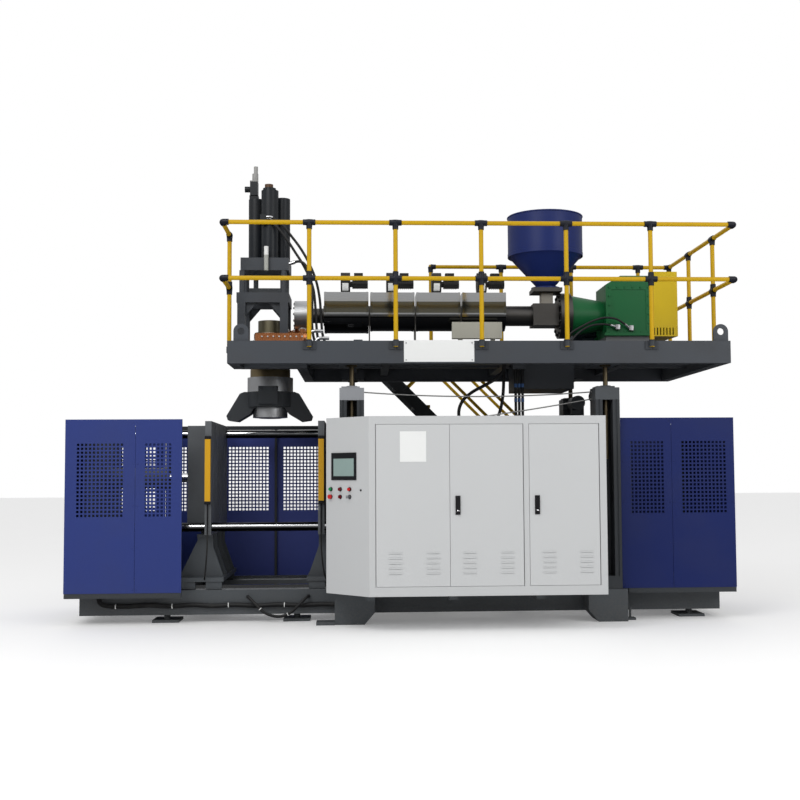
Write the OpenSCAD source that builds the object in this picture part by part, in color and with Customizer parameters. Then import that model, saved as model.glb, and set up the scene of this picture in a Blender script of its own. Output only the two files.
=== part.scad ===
// Accumulator-head extrusion blow moulding machine
// +Z is up, +X runs along the machine, the operator stands at -Y.
// The origin lies on the floor under the middle of the machine.

/* [Base and lift] */
// Length of the base frame
base_l = 6100; // [6050:10:6150]
// Depth over both base beams
base_d = 1160; // [1120:10:1180]
// Height of a base beam
beam_h = 230; // [200:5:250]
// Width of a base beam
beam_w = 180; // [150:5:200]
// Height of the beams above the floor
foot_h = 70; // [50:5:90]
// Distance between the lift columns along the machine
col_pitch_x = 2410; // [2380:10:2430]
// Distance between the lift columns across the machine
col_pitch_y = 1700; // [1680:10:1720]
// Width of a lift column
col_w = 230; // [210:5:240]
// Depth of a lift column
col_d = 250; // [220:5:260]
// Height of the jack blocks above the floor
jack_z = 2075; // [2000:5:2100]
// Height of a jack block
jack_h = 137; // [110:1:150]
// Diameter of a lift screw
screw_d = 46; // [36:1:60]

/* [Clamp] */
// Opening between the two platens
daylight = 1006; // [960:2:1040]
// Closing travel of each platen
clamp_stroke = 250; // [100:10:260]
// Width of a platen across the machine
platen_w = 1300; // [1260:10:1320]
// Height of a platen
platen_h = 1075; // [1000:5:1085]
// Thickness of a platen
platen_t = 60; // [50:1:80]
// Height of the platen's lower edge above the floor
platen_z = 820; // [780:5:860]
// Diameter of a tie bar
tie_d = 85; // [60:1:95]
// Distance of a tie bar from the platen's edges
tie_inset = 80; // [70:1:100]
// Length of a clamp cylinder
cyl_l = 600; // [560:10:640]
// Outer diameter of a clamp cylinder
cyl_d = 200; // [180:2:240]
// Diameter of a clamp piston rod
rod_d = 90; // [60:1:100]

/* [Guards] */
// Height of the guard panels above the floor, top edge
guard_top = 1905; // [1880:5:1940]
// Height of the guard panels above the floor, lower edge
guard_z = 302; // [301:1:320]
// Depth of the guard boxes
guard_d = 1660; // [1640:10:1700]
// Length of the left guard box
guard_l_left = 1071; // [1050:1:1090]
// Length of the right guard box
guard_l_right = 1090; // [1070:1:1110]
// Thickness of the guard sheet
sheet_t = 3; // [2:0.5:5]
// Pitch of the square holes
hole_pitch = 36.4; // [34:0.1:37]
// Side of a square hole
hole_s = 22; // [16:0.5:26]

/* [Cabinet] */
// Length of the cabinet front
cab_l = 2085; // [2060:1:2090]
// Depth of the cabinet
cab_d = 640; // [620:5:645]
// Height of the cabinet
cab_h = 1565; // [1540:5:1600]
// Height of the cabinet floor above the ground
cab_z = 325; // [320:1:340]
// Size of the slanted corner along each side
cab_chamfer = 381; // [370:1:400]
// Wall of the cabinet shell
cab_t = 4; // [3:0.5:6]
// Width of the first and second door
door_w = 645; // [620:1:650]
// Width of the third door
door3_w = 619; // [600:1:625]
// Height of the doors
door_h = 1406; // [1360:2:1420]
// Thickness of a door
door_t = 22; // [18:1:26]
// Gap around a door
door_gap = 3; // [2:0.5:4]

/* [Deck] */
// Height of the deck above the floor
deck_z = 2620; // [2600:5:2720]
// Length of the deck
deck_l = 4710; // [4690:10:4720]
// Depth of the deck
deck_d = 2170; // [2150:10:2200]
// Height of the deck beams
deck_h = 210; // [180:5:220]
// Thickness of the deck beams
deck_t = 100; // [80:5:110]
// Depth of the walkway in front of the head
walk_d = 600; // [580:5:610]
// Length of the open bay around the head
bay_l = 610; // [600:5:640]
// Lift travel of the deck
lift_stroke = 250; // [100:10:300]

/* [Guard rail] */
// Diameter of the rail tube
rail_d = 42; // [34:1:48]
// Height of the top rail above the deck
rail_h = 1100; // [1000:10:1200]
// Height of the middle rail above the deck
rail_mid = 578; // [500:5:620]
// Spacing of the front posts
post_pitch = 800; // [780:5:800]

/* [Extruder] */
// Height of the extruder axis above the deck
axis_h = 370; // [360:2:400]
// Outer diameter of the barrel
barrel_d = 205; // [190:1:220]
// Diameter of the extruder screw
ext_screw_d = 90; // [80:1:100]
// Radius of a heater cover
cover_r = 156; // [150:1:170]
// Length of a heater cover
cover_l = 445; // [430:1:450]
// Pitch of the heater covers
cover_pitch = 463; // [460:1:470]
// Diameter of the hopper
hopper_d = 763; // [700:1:800]
// Height of the hopper's straight wall
hopper_h = 400; // [340:2:520]

/* [Head] */
// Width of the portal frame
portal_w = 500; // [480:5:520]
// Depth of the portal frame
portal_d = 500; // [480:5:520]
// Height of the portal frame above the deck
portal_h = 570; // [540:5:600]
// Diameter of the push cylinders
push_d = 150; // [120:2:160]
// Radius of the accumulator body
acc_r = 158; // [140:1:165]
// Radius of the die body
die_r = 228; // [200:2:235]
// Radius of the die lip
lip_r = 168; // [150:2:180]

/* [Hidden] */

$fn = 48;
e = 1;
run_gap = 0.5;
fit_gap = 0.05;

// Places along the machine and across it
deck_x = 715;
rail_y = -1160;
clamp_x = deck_x - 2036;
head_y = rail_y + 1030;

base_x0 = clamp_x - 1734;
base_x1 = base_x0 + base_l;
beam_top = foot_h + beam_h;
base_y0 = head_y - base_d/2;
base_y1 = head_y + base_d/2;

deck_y0 = rail_y + 30;
deck_y1 = deck_y0 + deck_d;
deck_x0 = deck_x - deck_l/2;
deck_x1 = deck_x + deck_l/2;
deck_under = deck_z - deck_h;
bay_x = clamp_x - 319 + bay_l;
walk_y = deck_y0 + walk_d;

col_y = (deck_y0 + deck_y1)/2;
function column_x(i) = deck_x - 5 + (i == 0 ? -1 : 1)*col_pitch_x/2;
function column_y(j) = col_y + (j == 0 ? -1 : 1)*col_pitch_y/2;

rail_w = 45;
rail_t = 40;
rail_y_front = base_y0 + beam_w/2;
rail_y_back = base_y1 - beam_w/2;
platen_top = platen_z + platen_h;
rod_z = platen_z + platen_h/2;
backing = 195;
plate_far = daylight/2 + platen_t + backing;
end_t = 90;
end_x = daylight/2 + 1097;
carriage_z = beam_top + 75;
carriage_t = 40;

guard_y0 = head_y - guard_d/2;
guard_y1 = head_y + guard_d/2;
guard_lx0 = clamp_x - 1821;
guard_lx1 = guard_lx0 + guard_l_left;
guard_rx0 = column_x(1) + col_w/2 + 15;
guard_rx1 = guard_rx0 + guard_l_right;

cab_x1 = deck_x + 1027;
cab_x0 = cab_x1 - cab_l;
cab_y0 = rail_y - 550;
cab_y1 = cab_y0 + cab_d;
cab_top = cab_z + cab_h;
door_z = cab_z + 85;
door1_x = cab_x0 + 58;
door2_x = door1_x + door_w + door_gap;
door3_x = door2_x + door_w + 52;
hinge_r = door_t/2;
pin_d = 8;

axis_z = deck_z + axis_h;
barrel_x0 = deck_x - 1500;
barrel_x1 = deck_x + 905;
cover_x0 = deck_x - 1490;
hopper_x = deck_x + 773;
feed_z = axis_z + barrel_d/2;

portal_x = deck_x - 2095;
portal_z = deck_z + portal_h;
upper_z = portal_z + 225;
upper_t = 125;

// A box between two corners
module span(p, q) {
  translate(p)
    cube(q - p);
}

// Round bars along each axis
module bar_x(x0, x1, y, z, d) {
  translate([x0, y, z])
    rotate([0, 90, 0])
      cylinder(d = d, h = x1 - x0);
}

module bar_y(y0, y1, x, z, d) {
  translate([x, y0, z])
    rotate([-90, 0, 0])
      cylinder(d = d, h = y1 - y0);
}

module bar_z(z0, z1, x, y, d) {
  translate([x, y, z0])
    cylinder(d = d, h = z1 - z0);
}

// Mirrors its children to the other side of the mould's parting plane
module clamp_side(right) {
  translate([clamp_x, head_y, 0])
    mirror([right ? 1 : 0, 0, 0])
      children();
}

// Unit direction from one point to the next
function unit(v) = v/norm(v);

// Rings of a tube along a route, with a fixed sideways reference
function along(pts, i) =
  unit(pts[min(i + 1, len(pts) - 1)] - pts[max(i - 1, 0)]);
function side_of(t) = unit(cross(t, abs(t[2]) > 0.9 ? [0, 1, 0] : [0, 0, 1]));

// A tube swept along hand-chosen points
module hose(pts, d, sides = 8) {
  ring = [for (i = [0 : len(pts) - 1])
    let (t = along(pts, i), u = side_of(t), v = cross(t, u))
      for (k = [0 : sides - 1])
        pts[i] + d/2*(cos(360*k/sides)*u + sin(360*k/sides)*v)];
  n = len(pts);
  faces = concat(
    [[for (k = [0 : sides - 1]) k]],
    [for (i = [0 : n - 2], k = [0 : sides - 1])
      [i*sides + k, (i + 1)*sides + k, (i + 1)*sides + (k + 1) % sides, i*sides + (k + 1) % sides]],
    [[for (k = [sides - 1 : -1 : 0]) (n - 1)*sides + k]]);
  polyhedron(ring, faces, convexity = 6);
}

// Base and lift

ped_w = 322;

module pedestal(i, j) {
  x = column_x(i);
  outer = column_y(j) + (j == 0 ? -1 : 1)*(col_d/2 + 12);
  inner = j == 0 ? base_y0 : base_y1;
  y0 = min(outer, inner);
  y1 = max(outer, inner);
  cut = 94;
  translate([x, y1, 0])
    rotate([90, 0, 0])
      linear_extrude(y1 - y0)
        mirror([i, 0])
          polygon([[-ped_w/2, 0], [ped_w/2 - cut/2, 0], [ped_w/2 + cut/2, foot_h + 38],
            [ped_w/2 + cut/2, beam_top], [-ped_w/2, beam_top]]);
}

module base_frame() {
  color("#33393d") {
    for (y = [base_y0, base_y1 - beam_w])
      span([base_x0, y, foot_h], [base_x1, y + beam_w, beam_top]);
    for (x = [base_x0, clamp_x - 700, clamp_x + 580, deck_x + 384, base_x1 - 120])
      span([x, base_y0 + beam_w, foot_h + 40], [x + 120, base_y1 - beam_w, beam_top - 20]);
    for (x = [clamp_x - end_x - end_t, clamp_x + end_x])
      span([x, base_y0 + beam_w, foot_h + 40], [x + end_t, base_y1 - beam_w, beam_top]);
    for (i = [0, 1], j = [0, 1])
      pedestal(i, j);
    // Brackets that carry the cabinet
    for (x = [column_x(0) + col_w/2 + 10, deck_x - 340, deck_x + 450])
      span([x, cab_y0 + 330, cab_z - 70], [x + 80, base_y0, cab_z]);
  }
}

plate_l = 250;

module feet() {
  color("#3a3f40") {
    for (x = [clamp_x - 930, clamp_x + 298, base_x1 - 280], y = [base_y0 - 20, base_y1 - beam_w - 90]) {
      span([x - plate_l/2, y, 0], [x + plate_l/2, y + beam_w + 110, 25]);
      bar_z(25, foot_h, x, y + beam_w/2 + 20, 60);
    }
    for (j = [0, 1])
      let (y = column_y(j) + (j == 0 ? -1 : 1)*(col_d/2 + 12 - 60))
        span([column_x(0) - ped_w/2 - 170, y - 80, 0], [column_x(0) - ped_w/2, y + 80, 30]);
    // Levelling bolts beside the right pedestals
    for (j = [0, 1]) {
      x = column_x(1) + ped_w/2;
      y = column_y(j);
      span([x, y - 45, 0], [x + 95, y + 45, 22]);
      bar_z(22, 95, x + 50, y, 22);
      translate([x + 50, y, 95])
        cylinder(d = 40, h = 18, $fn = 6);
    }
  }
}

slot_w = 96;
slot_d = 170;

module lift_column() {
  difference() {
    span([-col_w/2, -col_d/2, beam_top], [col_w/2, col_d/2, jack_z]);
    span([-slot_w/2, -col_d/2 - e, beam_top + 120], [slot_w/2, -col_d/2 + slot_d, jack_z + e]);
    // Shallow flutes down both legs
    for (s = [-1, 1])
      translate([s*(slot_w/2 + (col_w - slot_w)/4), -col_d/2, beam_top + 120])
        cylinder(d = 18, h = jack_z - beam_top);
  }
}

module lift_columns() {
  color("#2d3336")
    for (i = [0, 1], j = [0, 1])
      translate([column_x(i), column_y(j), 0])
        mirror([0, j, 0])
          lift_column();
}

// Axis of a lift screw, in its column's slot
screw_dy = -col_d/2 + slot_d/2;
motor_d = 150;

module jack_units() {
  color("#4a5052")
    for (i = [0, 1], j = [0, 1])
      translate([column_x(i), column_y(j), jack_z])
        mirror([0, j, 0])
          difference() {
            union() {
              span([-col_w/2, -col_d/2, 0], [col_w/2, col_d/2, jack_h - 22]);
              span([-col_w/2 + 18, -col_d/2 + 14, jack_h - 22], [col_w/2 - 40, col_d/2 - 30, jack_h - 8]);
              translate([0, screw_dy, jack_h - 22])
                cylinder(d = screw_d + 54, h = 22);
            }
            translate([0, screw_dy, -e])
              cylinder(d = screw_d + 2*run_gap, h = jack_h + 2*e);
          }
  // Drive motors on the inner sides
  color("#2b2f31")
    for (i = [0, 1], j = [0, 1])
      translate([column_x(i), column_y(j), jack_z + jack_h/2 - 8])
        mirror([0, j, 0]) {
          bar_y(col_d/2, col_d/2 + 20, 0, 0, motor_d - 20);
          bar_y(col_d/2 + 20, col_d/2 + 270, 0, 0, motor_d);
          span([-50, col_d/2 + 70, -motor_d/2 - 40], [50, col_d/2 + 180, -motor_d/2 + 20]);
        }
}

// Thin steel lubrication pipes, slightly bowed between their ends
pipe_d = 12;

function bowed(p, q, sag, n) =
  [for (k = [0 : n]) p + (q - p)*k/n - [0, 0, 4*sag*(k/n)*(1 - k/n)]];

module lube_pipes() {
  x0 = column_x(0) + col_w/2 + 1.2;
  x1 = column_x(1) - col_w/2 - 1.2;
  left = [x0, column_y(0) + 40, jack_z + jack_h/2 + 15];
  right = [x1, column_y(0) + 40, jack_z + jack_h/2 + 15];
  low = [x0, column_y(0) + 60, jack_z - 275];
  high = [x1, column_y(0) + 60, jack_z + 16];
  color("#9a9c98") {
    hose(bowed(left, right, 42, 14), pipe_d);
    hose(bowed(low, high, 25, 14), pipe_d);
  }
}

// Clamp

// Places of the two tie bars, one low at the front and one high at the back
tie_at = [
  [-platen_w/2 + tie_inset, platen_z + tie_inset - 8],
  [platen_w/2 - tie_inset, platen_z + platen_h - tie_inset - 4]
];

piston_d = 138;

module clamp_ends() {
  x0 = -end_x;
  x1 = x0 + cyl_l;
  color("#3b4144")
    for (right = [false, true])
      clamp_side(right)
        difference() {
          span([-end_x - end_t, -platen_w/2 + 30, beam_top], [-end_x, platen_w/2 - 30, platen_top - 10]);
          span([-end_x - end_t - e, -300, beam_top - e], [-end_x + e, 300, beam_top + 260]);
          for (p = tie_at)
            bar_x(-end_x - end_t - e, -end_x + e, p[0], p[1], tie_d);
        }
  // Clamp cylinders, bored for the piston and its rod
  color("#3a4043")
    for (right = [false, true])
      clamp_side(right)
        difference() {
          union() {
            bar_x(x0, x1, 0, rod_z, cyl_d);
            for (x = [x0, x1 - 40])
              bar_x(x, x + 40, 0, rod_z, cyl_d + 50);
          }
          bar_x(x0 + 30, x1 - 40, 0, rod_z, piston_d + 2*run_gap);
          bar_x(x1 - 40 - e, x1 + e, 0, rod_z, rod_d + 2*run_gap);
        }
}

module clamp_guides() {
  nut = tie_d + 45;
  guide_l = 2400;
  color("#d6d9dc") {
    for (y = [rail_y_front, rail_y_back])
      span([clamp_x - guide_l/2, y - rail_w/2, beam_top], [clamp_x + guide_l/2, y + rail_w/2,
        beam_top + rail_t]);
    translate([clamp_x, head_y, 0])
      for (p = tie_at) {
        bar_x(-end_x - end_t - 50, end_x + end_t + 50, p[0], p[1], tie_d);
        for (s = [-1, 1])
          translate([s*(end_x + end_t + 22.5), p[0], p[1]])
            rotate([0, 90, 0])
              difference() {
                cylinder(d = nut, h = 45, center = true, $fn = 6);
                cylinder(d = tie_d, h = 50, center = true);
              }
      }
  }
}

module piston_rod(right) {
  tail = end_x - cyl_l + 40 + clamp_stroke + 90;
  color("#d3d6d9")
    clamp_side(right) {
      bar_x(-tail, -plate_far, 0, rod_z, rod_d);
      bar_x(-tail, -tail + 60, 0, rod_z, piston_d);
    }
}

module piston_rod_left() {
  piston_rod(false);
}

module piston_rod_right() {
  piston_rod(true);
}

slot_count = 6;

module platen(right) {
  x1 = -daylight/2;
  x0 = x1 - platen_t;
  color("#50565a")
    clamp_side(right)
      difference() {
        union() {
          span([x0, -platen_w/2, platen_z], [x1, platen_w/2, platen_top]);
          // Welded ribs and back plate behind the mounting face
          for (y = [-430, -160, 130, 400])
            span([x0 - backing + 40, y, platen_z + 40], [x0, y + 30, platen_top - 35]);
          span([x0 - backing, -430, platen_z + 40], [x0 - backing + 40, 430, platen_top - 35]);
        }
        for (k = [0 : slot_count - 1])
          let (y = (k - (slot_count - 1)/2)*platen_w/(slot_count + 1)) {
            span([x1 - 16, y - 11, platen_z - e], [x1 + e, y + 11, platen_top + e]);
            span([x1 - 30, y - 20, platen_z - e], [x1 - 15, y + 20, platen_top + e]);
          }
        for (p = tie_at)
          bar_x(x0 - e, x1 + e, p[0], p[1], tie_d + 2*fit_gap);
      }
}

module platen_left() {
  platen(false);
}

module platen_right() {
  platen(true);
}

block_w = 110;
block_l = 150;

module carriage(right) {
  x1 = -daylight/2;
  x0 = x1 - platen_t;
  top = carriage_z + carriage_t;
  color("#33383b")
    clamp_side(right) {
      span([x0 - 270, -base_d/2 + 20, carriage_z], [x1 + 109, base_d/2 - 20, top]);
      // Upright webs with gussets towards both sides
      for (y = [-470, -200, 170, 440]) {
        span([x0 - 90, y, top], [x1, y + 30, platen_z]);
        translate([0, y + 30, 0])
          rotate([90, 0, 0])
            linear_extrude(30) {
              polygon([[x1, top], [x1 + 100, top], [x1, platen_z - 120]]);
              polygon([[x0 - 90, top], [x0 - 260, top], [x0 - 90, platen_z - 60]]);
            }
      }
      span([x0 - 90, -500, platen_z - 30], [x1, -470, platen_z]);
      for (x = [x0 - 250, x1 - 60], y = [rail_y_front - head_y, rail_y_back - head_y])
        difference() {
          span([x, y - block_w/2, beam_top + 6], [x + block_l, y + block_w/2, carriage_z]);
          span([x - e, y - rail_w/2 - run_gap, beam_top], [x + block_l + e, y + rail_w/2 + run_gap,
            beam_top + rail_t + run_gap]);
        }
    }
}

module carriage_left() {
  carriage(false);
}

module carriage_right() {
  carriage(true);
}

strip_z0 = platen_z + 290;
strip_h = 640;

module curtain(right) {
  x = -daylight/2 - platen_t/2;
  y = -platen_w/2;
  color("#d9a321")
    clamp_side(right) {
      span([x - 26, y - 42, strip_z0], [x + 26, y - 6, strip_z0 + strip_h]);
      for (z = [strip_z0 + 60, strip_z0 + strip_h - 100])
        span([x - 15, y - 6, z], [x + 15, y, z + 40]);
      bar_z(platen_z + 20, strip_z0, x, y - 24, 14);
    }
}

module curtain_left() {
  curtain(false);
}

module curtain_right() {
  curtain(true);
}

// Guards

// A field of square holes
module hole_field(cols, rows, x, z) {
  for (i = [0 : cols - 1], j = [0 : rows - 1])
    translate([x + i*hole_pitch, z + j*hole_pitch])
      square(hole_s);
}

hole_rows = 19;
hole_z = 1004 - guard_z;

// An upright sheet with two hole fields, standing in the XZ plane
module guard_sheet(l, seam, cols, starts) {
  rotate([90, 0, 0])
    translate([0, 0, -sheet_t])
      linear_extrude(sheet_t)
        difference() {
          square([l, guard_top - guard_z]);
          for (k = [0, 1])
            if (cols[k] > 0)
              hole_field(cols[k], hole_rows, starts[k], hole_z);
          translate([seam - 1.5, 0])
            square([3, guard_top - guard_z - 60]);
        }
}

ret = 30;

module guard_left() {
  color("#2d3a86")
    translate([guard_lx0, 0, guard_z]) {
      translate([0, guard_y0, 0])
        guard_sheet(guard_l_left, 643, [12, 7], [108, 732]);
      translate([0, guard_y1 - sheet_t, 0])
        guard_sheet(guard_l_left, 643, [12, 7], [108, 732]);
      translate([0, guard_y0 + sheet_t, 0])
        cube([sheet_t, guard_d - 2*sheet_t, guard_top - guard_z]);
    }
}

module guard_right() {
  color("#1c2b6e")
    translate([guard_rx0, 0, guard_z]) {
      translate([0, guard_y0, 0])
        guard_sheet(guard_l_right, 487, [9, 12], [96, 585]);
      translate([0, guard_y1 - sheet_t, 0])
        guard_sheet(guard_l_right, 487, [0, 0], [96, 585]);
      translate([guard_l_right - sheet_t, guard_y0 + sheet_t, 0])
        cube([sheet_t, guard_d - 2*sheet_t, guard_top - guard_z]);
    }
}

trim_h = 46;
bar_w = 40;

// Square tube frame that carries one guard box
module trim_box(x0, x1, outer) {
  y0 = guard_y0 + sheet_t;
  y1 = guard_y1 - sheet_t;
  for (y = [y0, y1 - bar_w]) {
    span([x0, y, guard_z - trim_h], [x1, y + bar_w, guard_z]);
    span([x0, y, guard_top - bar_w], [x1, y + bar_w, guard_top]);
    for (x = [x0, x1 - bar_w])
      span([x, y, guard_z], [x + bar_w, y + bar_w, guard_top - bar_w]);
  }
  span([outer, y0 + bar_w, guard_z - trim_h], [outer + bar_w, y1 - bar_w, guard_z]);
  span([outer, y0 + bar_w, guard_top - bar_w], [outer + bar_w, y1 - bar_w, guard_top]);
  // Arms down to the base beams
  for (x = [x0 + 250, x1 - 200])
    for (y = [[y0 + bar_w, base_y0], [base_y1, y1 - bar_w]])
      span([x, y[0], guard_z - trim_h], [x + 60, y[1], guard_z]);
}

module guard_trim() {
  color("#2a2e31") {
    trim_box(guard_lx0 + sheet_t, guard_lx1 - sheet_t, guard_lx0 + sheet_t);
    trim_box(guard_rx0 + 60, guard_rx1 - sheet_t, guard_rx1 - sheet_t - bar_w);
  }
}

// Rear doors of the mould bay
rear_x0 = clamp_x - 620;
rear_x1 = clamp_x + 620;
rear_t = 26;
rear_pin = 16;
rear_z0 = guard_z + 12;
rear_z1 = guard_top - 50;
knuckle_l = 70;
knuckle_z = [rear_z0 + 160, rear_z1 - 230];
rear_y = guard_y1 - rear_t;
hinge_out = 22;

module rear_frame() {
  color("#2f3437") {
    for (x = [rear_x0, rear_x1 - 50])
      span([x, rear_y - 10, guard_z - trim_h], [x + 50, guard_y1, guard_top]);
    span([clamp_x - 12, rear_y - 50, guard_z], [clamp_x + 12, rear_y - 4, guard_top - 40]);
    span([rear_x0 + 50, rear_y - 50, guard_top - 40], [rear_x1 - 50, guard_y1, guard_top]);
    span([rear_x0 + 50, rear_y - 50, guard_z - trim_h], [rear_x1 - 50, guard_y1, guard_z]);
    // Arms to the base and to the guard boxes
    for (x = [rear_x0, rear_x1 - 50])
      span([x, base_y1, guard_z - trim_h], [x + 50, rear_y - 10, guard_z - 2]);
    // Hinge pins on lugs
    for (s = [-1, 1], z = knuckle_z) {
      x = s < 0 ? rear_x0 + 25 : rear_x1 - 25;
      bar_z(z - 40, z + knuckle_l + 20, x, guard_y1 + hinge_out, rear_pin);
      span([x - 14, guard_y1, z - 60], [x + 14, guard_y1 + hinge_out + 14, z - 20]);
    }
  }
}

// A door as a folded sheet pan with hinge knuckles on its back
module rear_door(s) {
  x = s < 0 ? rear_x0 + 25 : rear_x1 - 25;
  leaf = rear_x1 - clamp_x - 50 - 5;
  color("#35428f")
    translate([x, 0, 0])
      mirror([s < 0 ? 0 : 1, 0, 0])
        difference() {
          union() {
            translate([28, rear_y, rear_z0])
              difference() {
                cube([leaf - 6, rear_t, rear_z1 - rear_z0]);
                translate([sheet_t, sheet_t, sheet_t])
                  cube([leaf - 6 - 2*sheet_t, rear_t, rear_z1 - rear_z0 - 2*sheet_t]);
                translate([0, rear_t - e, 0])
                  rotate([90, 0, 0])
                    linear_extrude(rear_t)
                      hole_field(12, hole_rows, 64, 1004 - rear_z0);
              }
            for (z = knuckle_z) {
              bar_z(z, z + knuckle_l, 0, guard_y1 + hinge_out, rear_pin + 14);
              span([6, guard_y1 + hinge_out - 4, z], [60, guard_y1 + hinge_out + 4, z + knuckle_l]);
              span([30, guard_y1 - sheet_t - 3, z], [60, guard_y1 + hinge_out, z + knuckle_l]);
            }
          }
          for (z = knuckle_z)
            bar_z(z - e, z + knuckle_l + e, 0, guard_y1 + hinge_out, rear_pin + 2*fit_gap);
        }
}

module rear_door_left() {
  rear_door(-1);
}

module rear_door_right() {
  rear_door(1);
}

// Cabinet

// Plan of the cabinet, shrunk by a wall
module cabinet_plan(w) {
  k = w*tan(22.5);
  polygon([
    [cab_x0 - cab_chamfer + w, cab_y1 - w], [cab_x0 - cab_chamfer + w, cab_y0 + cab_chamfer + k],
    [cab_x0 + k, cab_y0 + w], [cab_x1 - w, cab_y0 + w], [cab_x1 - w, cab_y1 - w]
  ]);
}

// Doors: left edge, width and side of the hinge
doors = [
  [door1_x, door_w, -1],
  [door2_x, door_w, 1],
  [door3_x, door3_w, 1]
];

function hinge_x(d) = d[2] < 0 ? d[0] + hinge_r : d[0] + d[1] - hinge_r;
hinge_y = cab_y0 + hinge_r;

// Place on the slanted panel: u from its rear edge, z above the floor, outwards along +Z
panel_l = cab_chamfer*sqrt(2);
module on_panel(u, z) {
  translate([cab_x0 - cab_chamfer, cab_y0 + cab_chamfer, z])
    rotate([0, 0, -45])
      translate([u, 0, 0])
        rotate([90, 0, 0])
          children();
}

button_u = [64, 184, 302];
button_z = [cab_top - 638, cab_top - 705];
stem_d = 22;
screen_u = 229;
screen_z = cab_top - 436;
screen_w = 312;
screen_h = 242;

module cabinet_shell() {
  color("#c9cccd") {
    difference() {
      translate([0, 0, cab_z])
        linear_extrude(cab_h)
          cabinet_plan(0);
      translate([0, 0, cab_z + cab_t])
        linear_extrude(cab_h - 2*cab_t)
          cabinet_plan(cab_t);
      for (d = [[door1_x, 2*door_w + door_gap], [door3_x, door3_w]])
        span([d[0] - door_gap, cab_y0 - e, door_z - door_gap],
          [d[0] + d[1] + door_gap, cab_y0 + cab_t + e, door_z + door_h + door_gap]);
      on_panel(screen_u - screen_w/2 + 12, screen_z - screen_h/2 + 12)
        translate([0, 0, -cab_t - e])
          cube([screen_w - 24, screen_h - 24, cab_t + 2*e]);
      for (u = button_u, z = button_z)
        on_panel(u, z)
          translate([0, 0, -cab_t - e])
            cylinder(d = stem_d + 2*run_gap, h = cab_t + 2*e);
    }
    // Jambs behind the door edges
    for (d = [[door1_x, 2*door_w + door_gap], [door3_x, door3_w]]) {
      for (x = [d[0] - door_gap - 30, d[0] + d[1] + door_gap + 26])
        span([x, cab_y0 + cab_t, door_z - 20], [x + 4, cab_y0 + 60, door_z + door_h + 20]);
      for (z = [door_z - door_gap - 24, door_z + door_h + door_gap])
        span([d[0] - 20, cab_y0 + cab_t, z], [d[0] + d[1] + 20, cab_y0 + 45, z + 24]);
    }
    // Hinge pins
    for (d = doors, z = [door_z - door_gap - 10, door_z + door_h - 40])
      bar_z(z, z + 50 + door_gap, hinge_x(d), hinge_y, pin_d);
  }
  // Mounting plates for the switchgear
  color("#b9b39f")
    for (x = [door1_x + 40, door3_x + 20])
      let (w = x < door3_x ? 2*door_w - 100 : door3_w - 60) {
        span([x, cab_y1 - 60, cab_z + 120], [x + w, cab_y1 - 56, cab_top - 120]);
        for (z = [cab_z + 180, cab_top - 200], s = [40, w - 80])
          span([x + s, cab_y1 - 56, z], [x + s + 40, cab_y1 - cab_t, z + 20]);
      }
}

louvre_w = 118;
louvre_at = [112, 440];

// A pan-shaped door with a round hinge stile, bored for its pins
module cabinet_door(k) {
  d = doors[k];
  x0 = d[2] < 0 ? d[0] + hinge_r : d[0];
  x1 = d[2] < 0 ? d[0] + d[1] : d[0] + d[1] - hinge_r;
  y1 = cab_y0 + door_t;
  z1 = door_z + door_h;
  color("#ced1d2")
    difference() {
      union() {
        span([x0, cab_y0, door_z], [x1, y1, z1]);
        bar_z(door_z, z1, hinge_x(d), hinge_y, door_t);
        // Pressed louvre hoods
        for (u = louvre_at, n = [0 : 4])
          span([d[0] + u, cab_y0 - 5, door_z + 108 + n*44], [d[0] + u + louvre_w, cab_y0, door_z + 118 + n*44]);
      }
      span([x0 + 26, cab_y0 + 3, door_z + 24], [x1 - 26, y1 + e, z1 - 24]);
      for (u = louvre_at, n = [0 : 4])
        span([d[0] + u + 6, cab_y0 - 3, door_z + 106 + n*44], [d[0] + u + louvre_w - 6, cab_y0 + 4,
          door_z + 114 + n*44]);
      for (z = [door_z - e, door_z + door_h - 41])
        bar_z(z, z + 42, hinge_x(d), hinge_y, pin_d + 2*fit_gap);
      if (k > 0)
        bar_y(cab_y0 - e, cab_y0 + 4, handle_x(k), handle_z, 12 + 2*fit_gap);
    }
}

handle_h = 165;
handle_w = 44;
handle_z = door_z + 752;
function handle_x(k) = doors[k][0] + 68;

// Escutcheon of a swing handle, fixed to the door
module escutcheon(k) {
  x = handle_x(k);
  color("#17191b")
    difference() {
      span([x - handle_w/2, cab_y0 - 6, handle_z + 30 - handle_h], [x + handle_w/2, cab_y0, handle_z + 30]);
      bar_y(cab_y0 - 7, cab_y0 + e, x, handle_z, 12 + 2*fit_gap);
    }
}

module cabinet_door_1() {
  cabinet_door(0);
  // Blank white plate
  color("white")
    span([door1_x + 212, cab_y0 - 2, cab_top - 400], [door1_x + 442, cab_y0, cab_top - 134]);
}

module cabinet_door_2() {
  cabinet_door(1);
  escutcheon(1);
}

module cabinet_door_3() {
  cabinet_door(2);
  escutcheon(2);
}

// Swing lever that turns about its lock spindle
module handle(k) {
  x = handle_x(k);
  color("#202326") {
    bar_y(cab_y0 - 8, cab_y0 + 18, x, handle_z, 12);
    bar_y(cab_y0 - 22, cab_y0 - 6.4, x, handle_z, 34);
    span([x - 13, cab_y0 - 22, handle_z - 125], [x + 13, cab_y0 - 8, handle_z]);
  }
}

module handle_2() {
  handle(1);
}

module handle_3() {
  handle(2);
}

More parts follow.
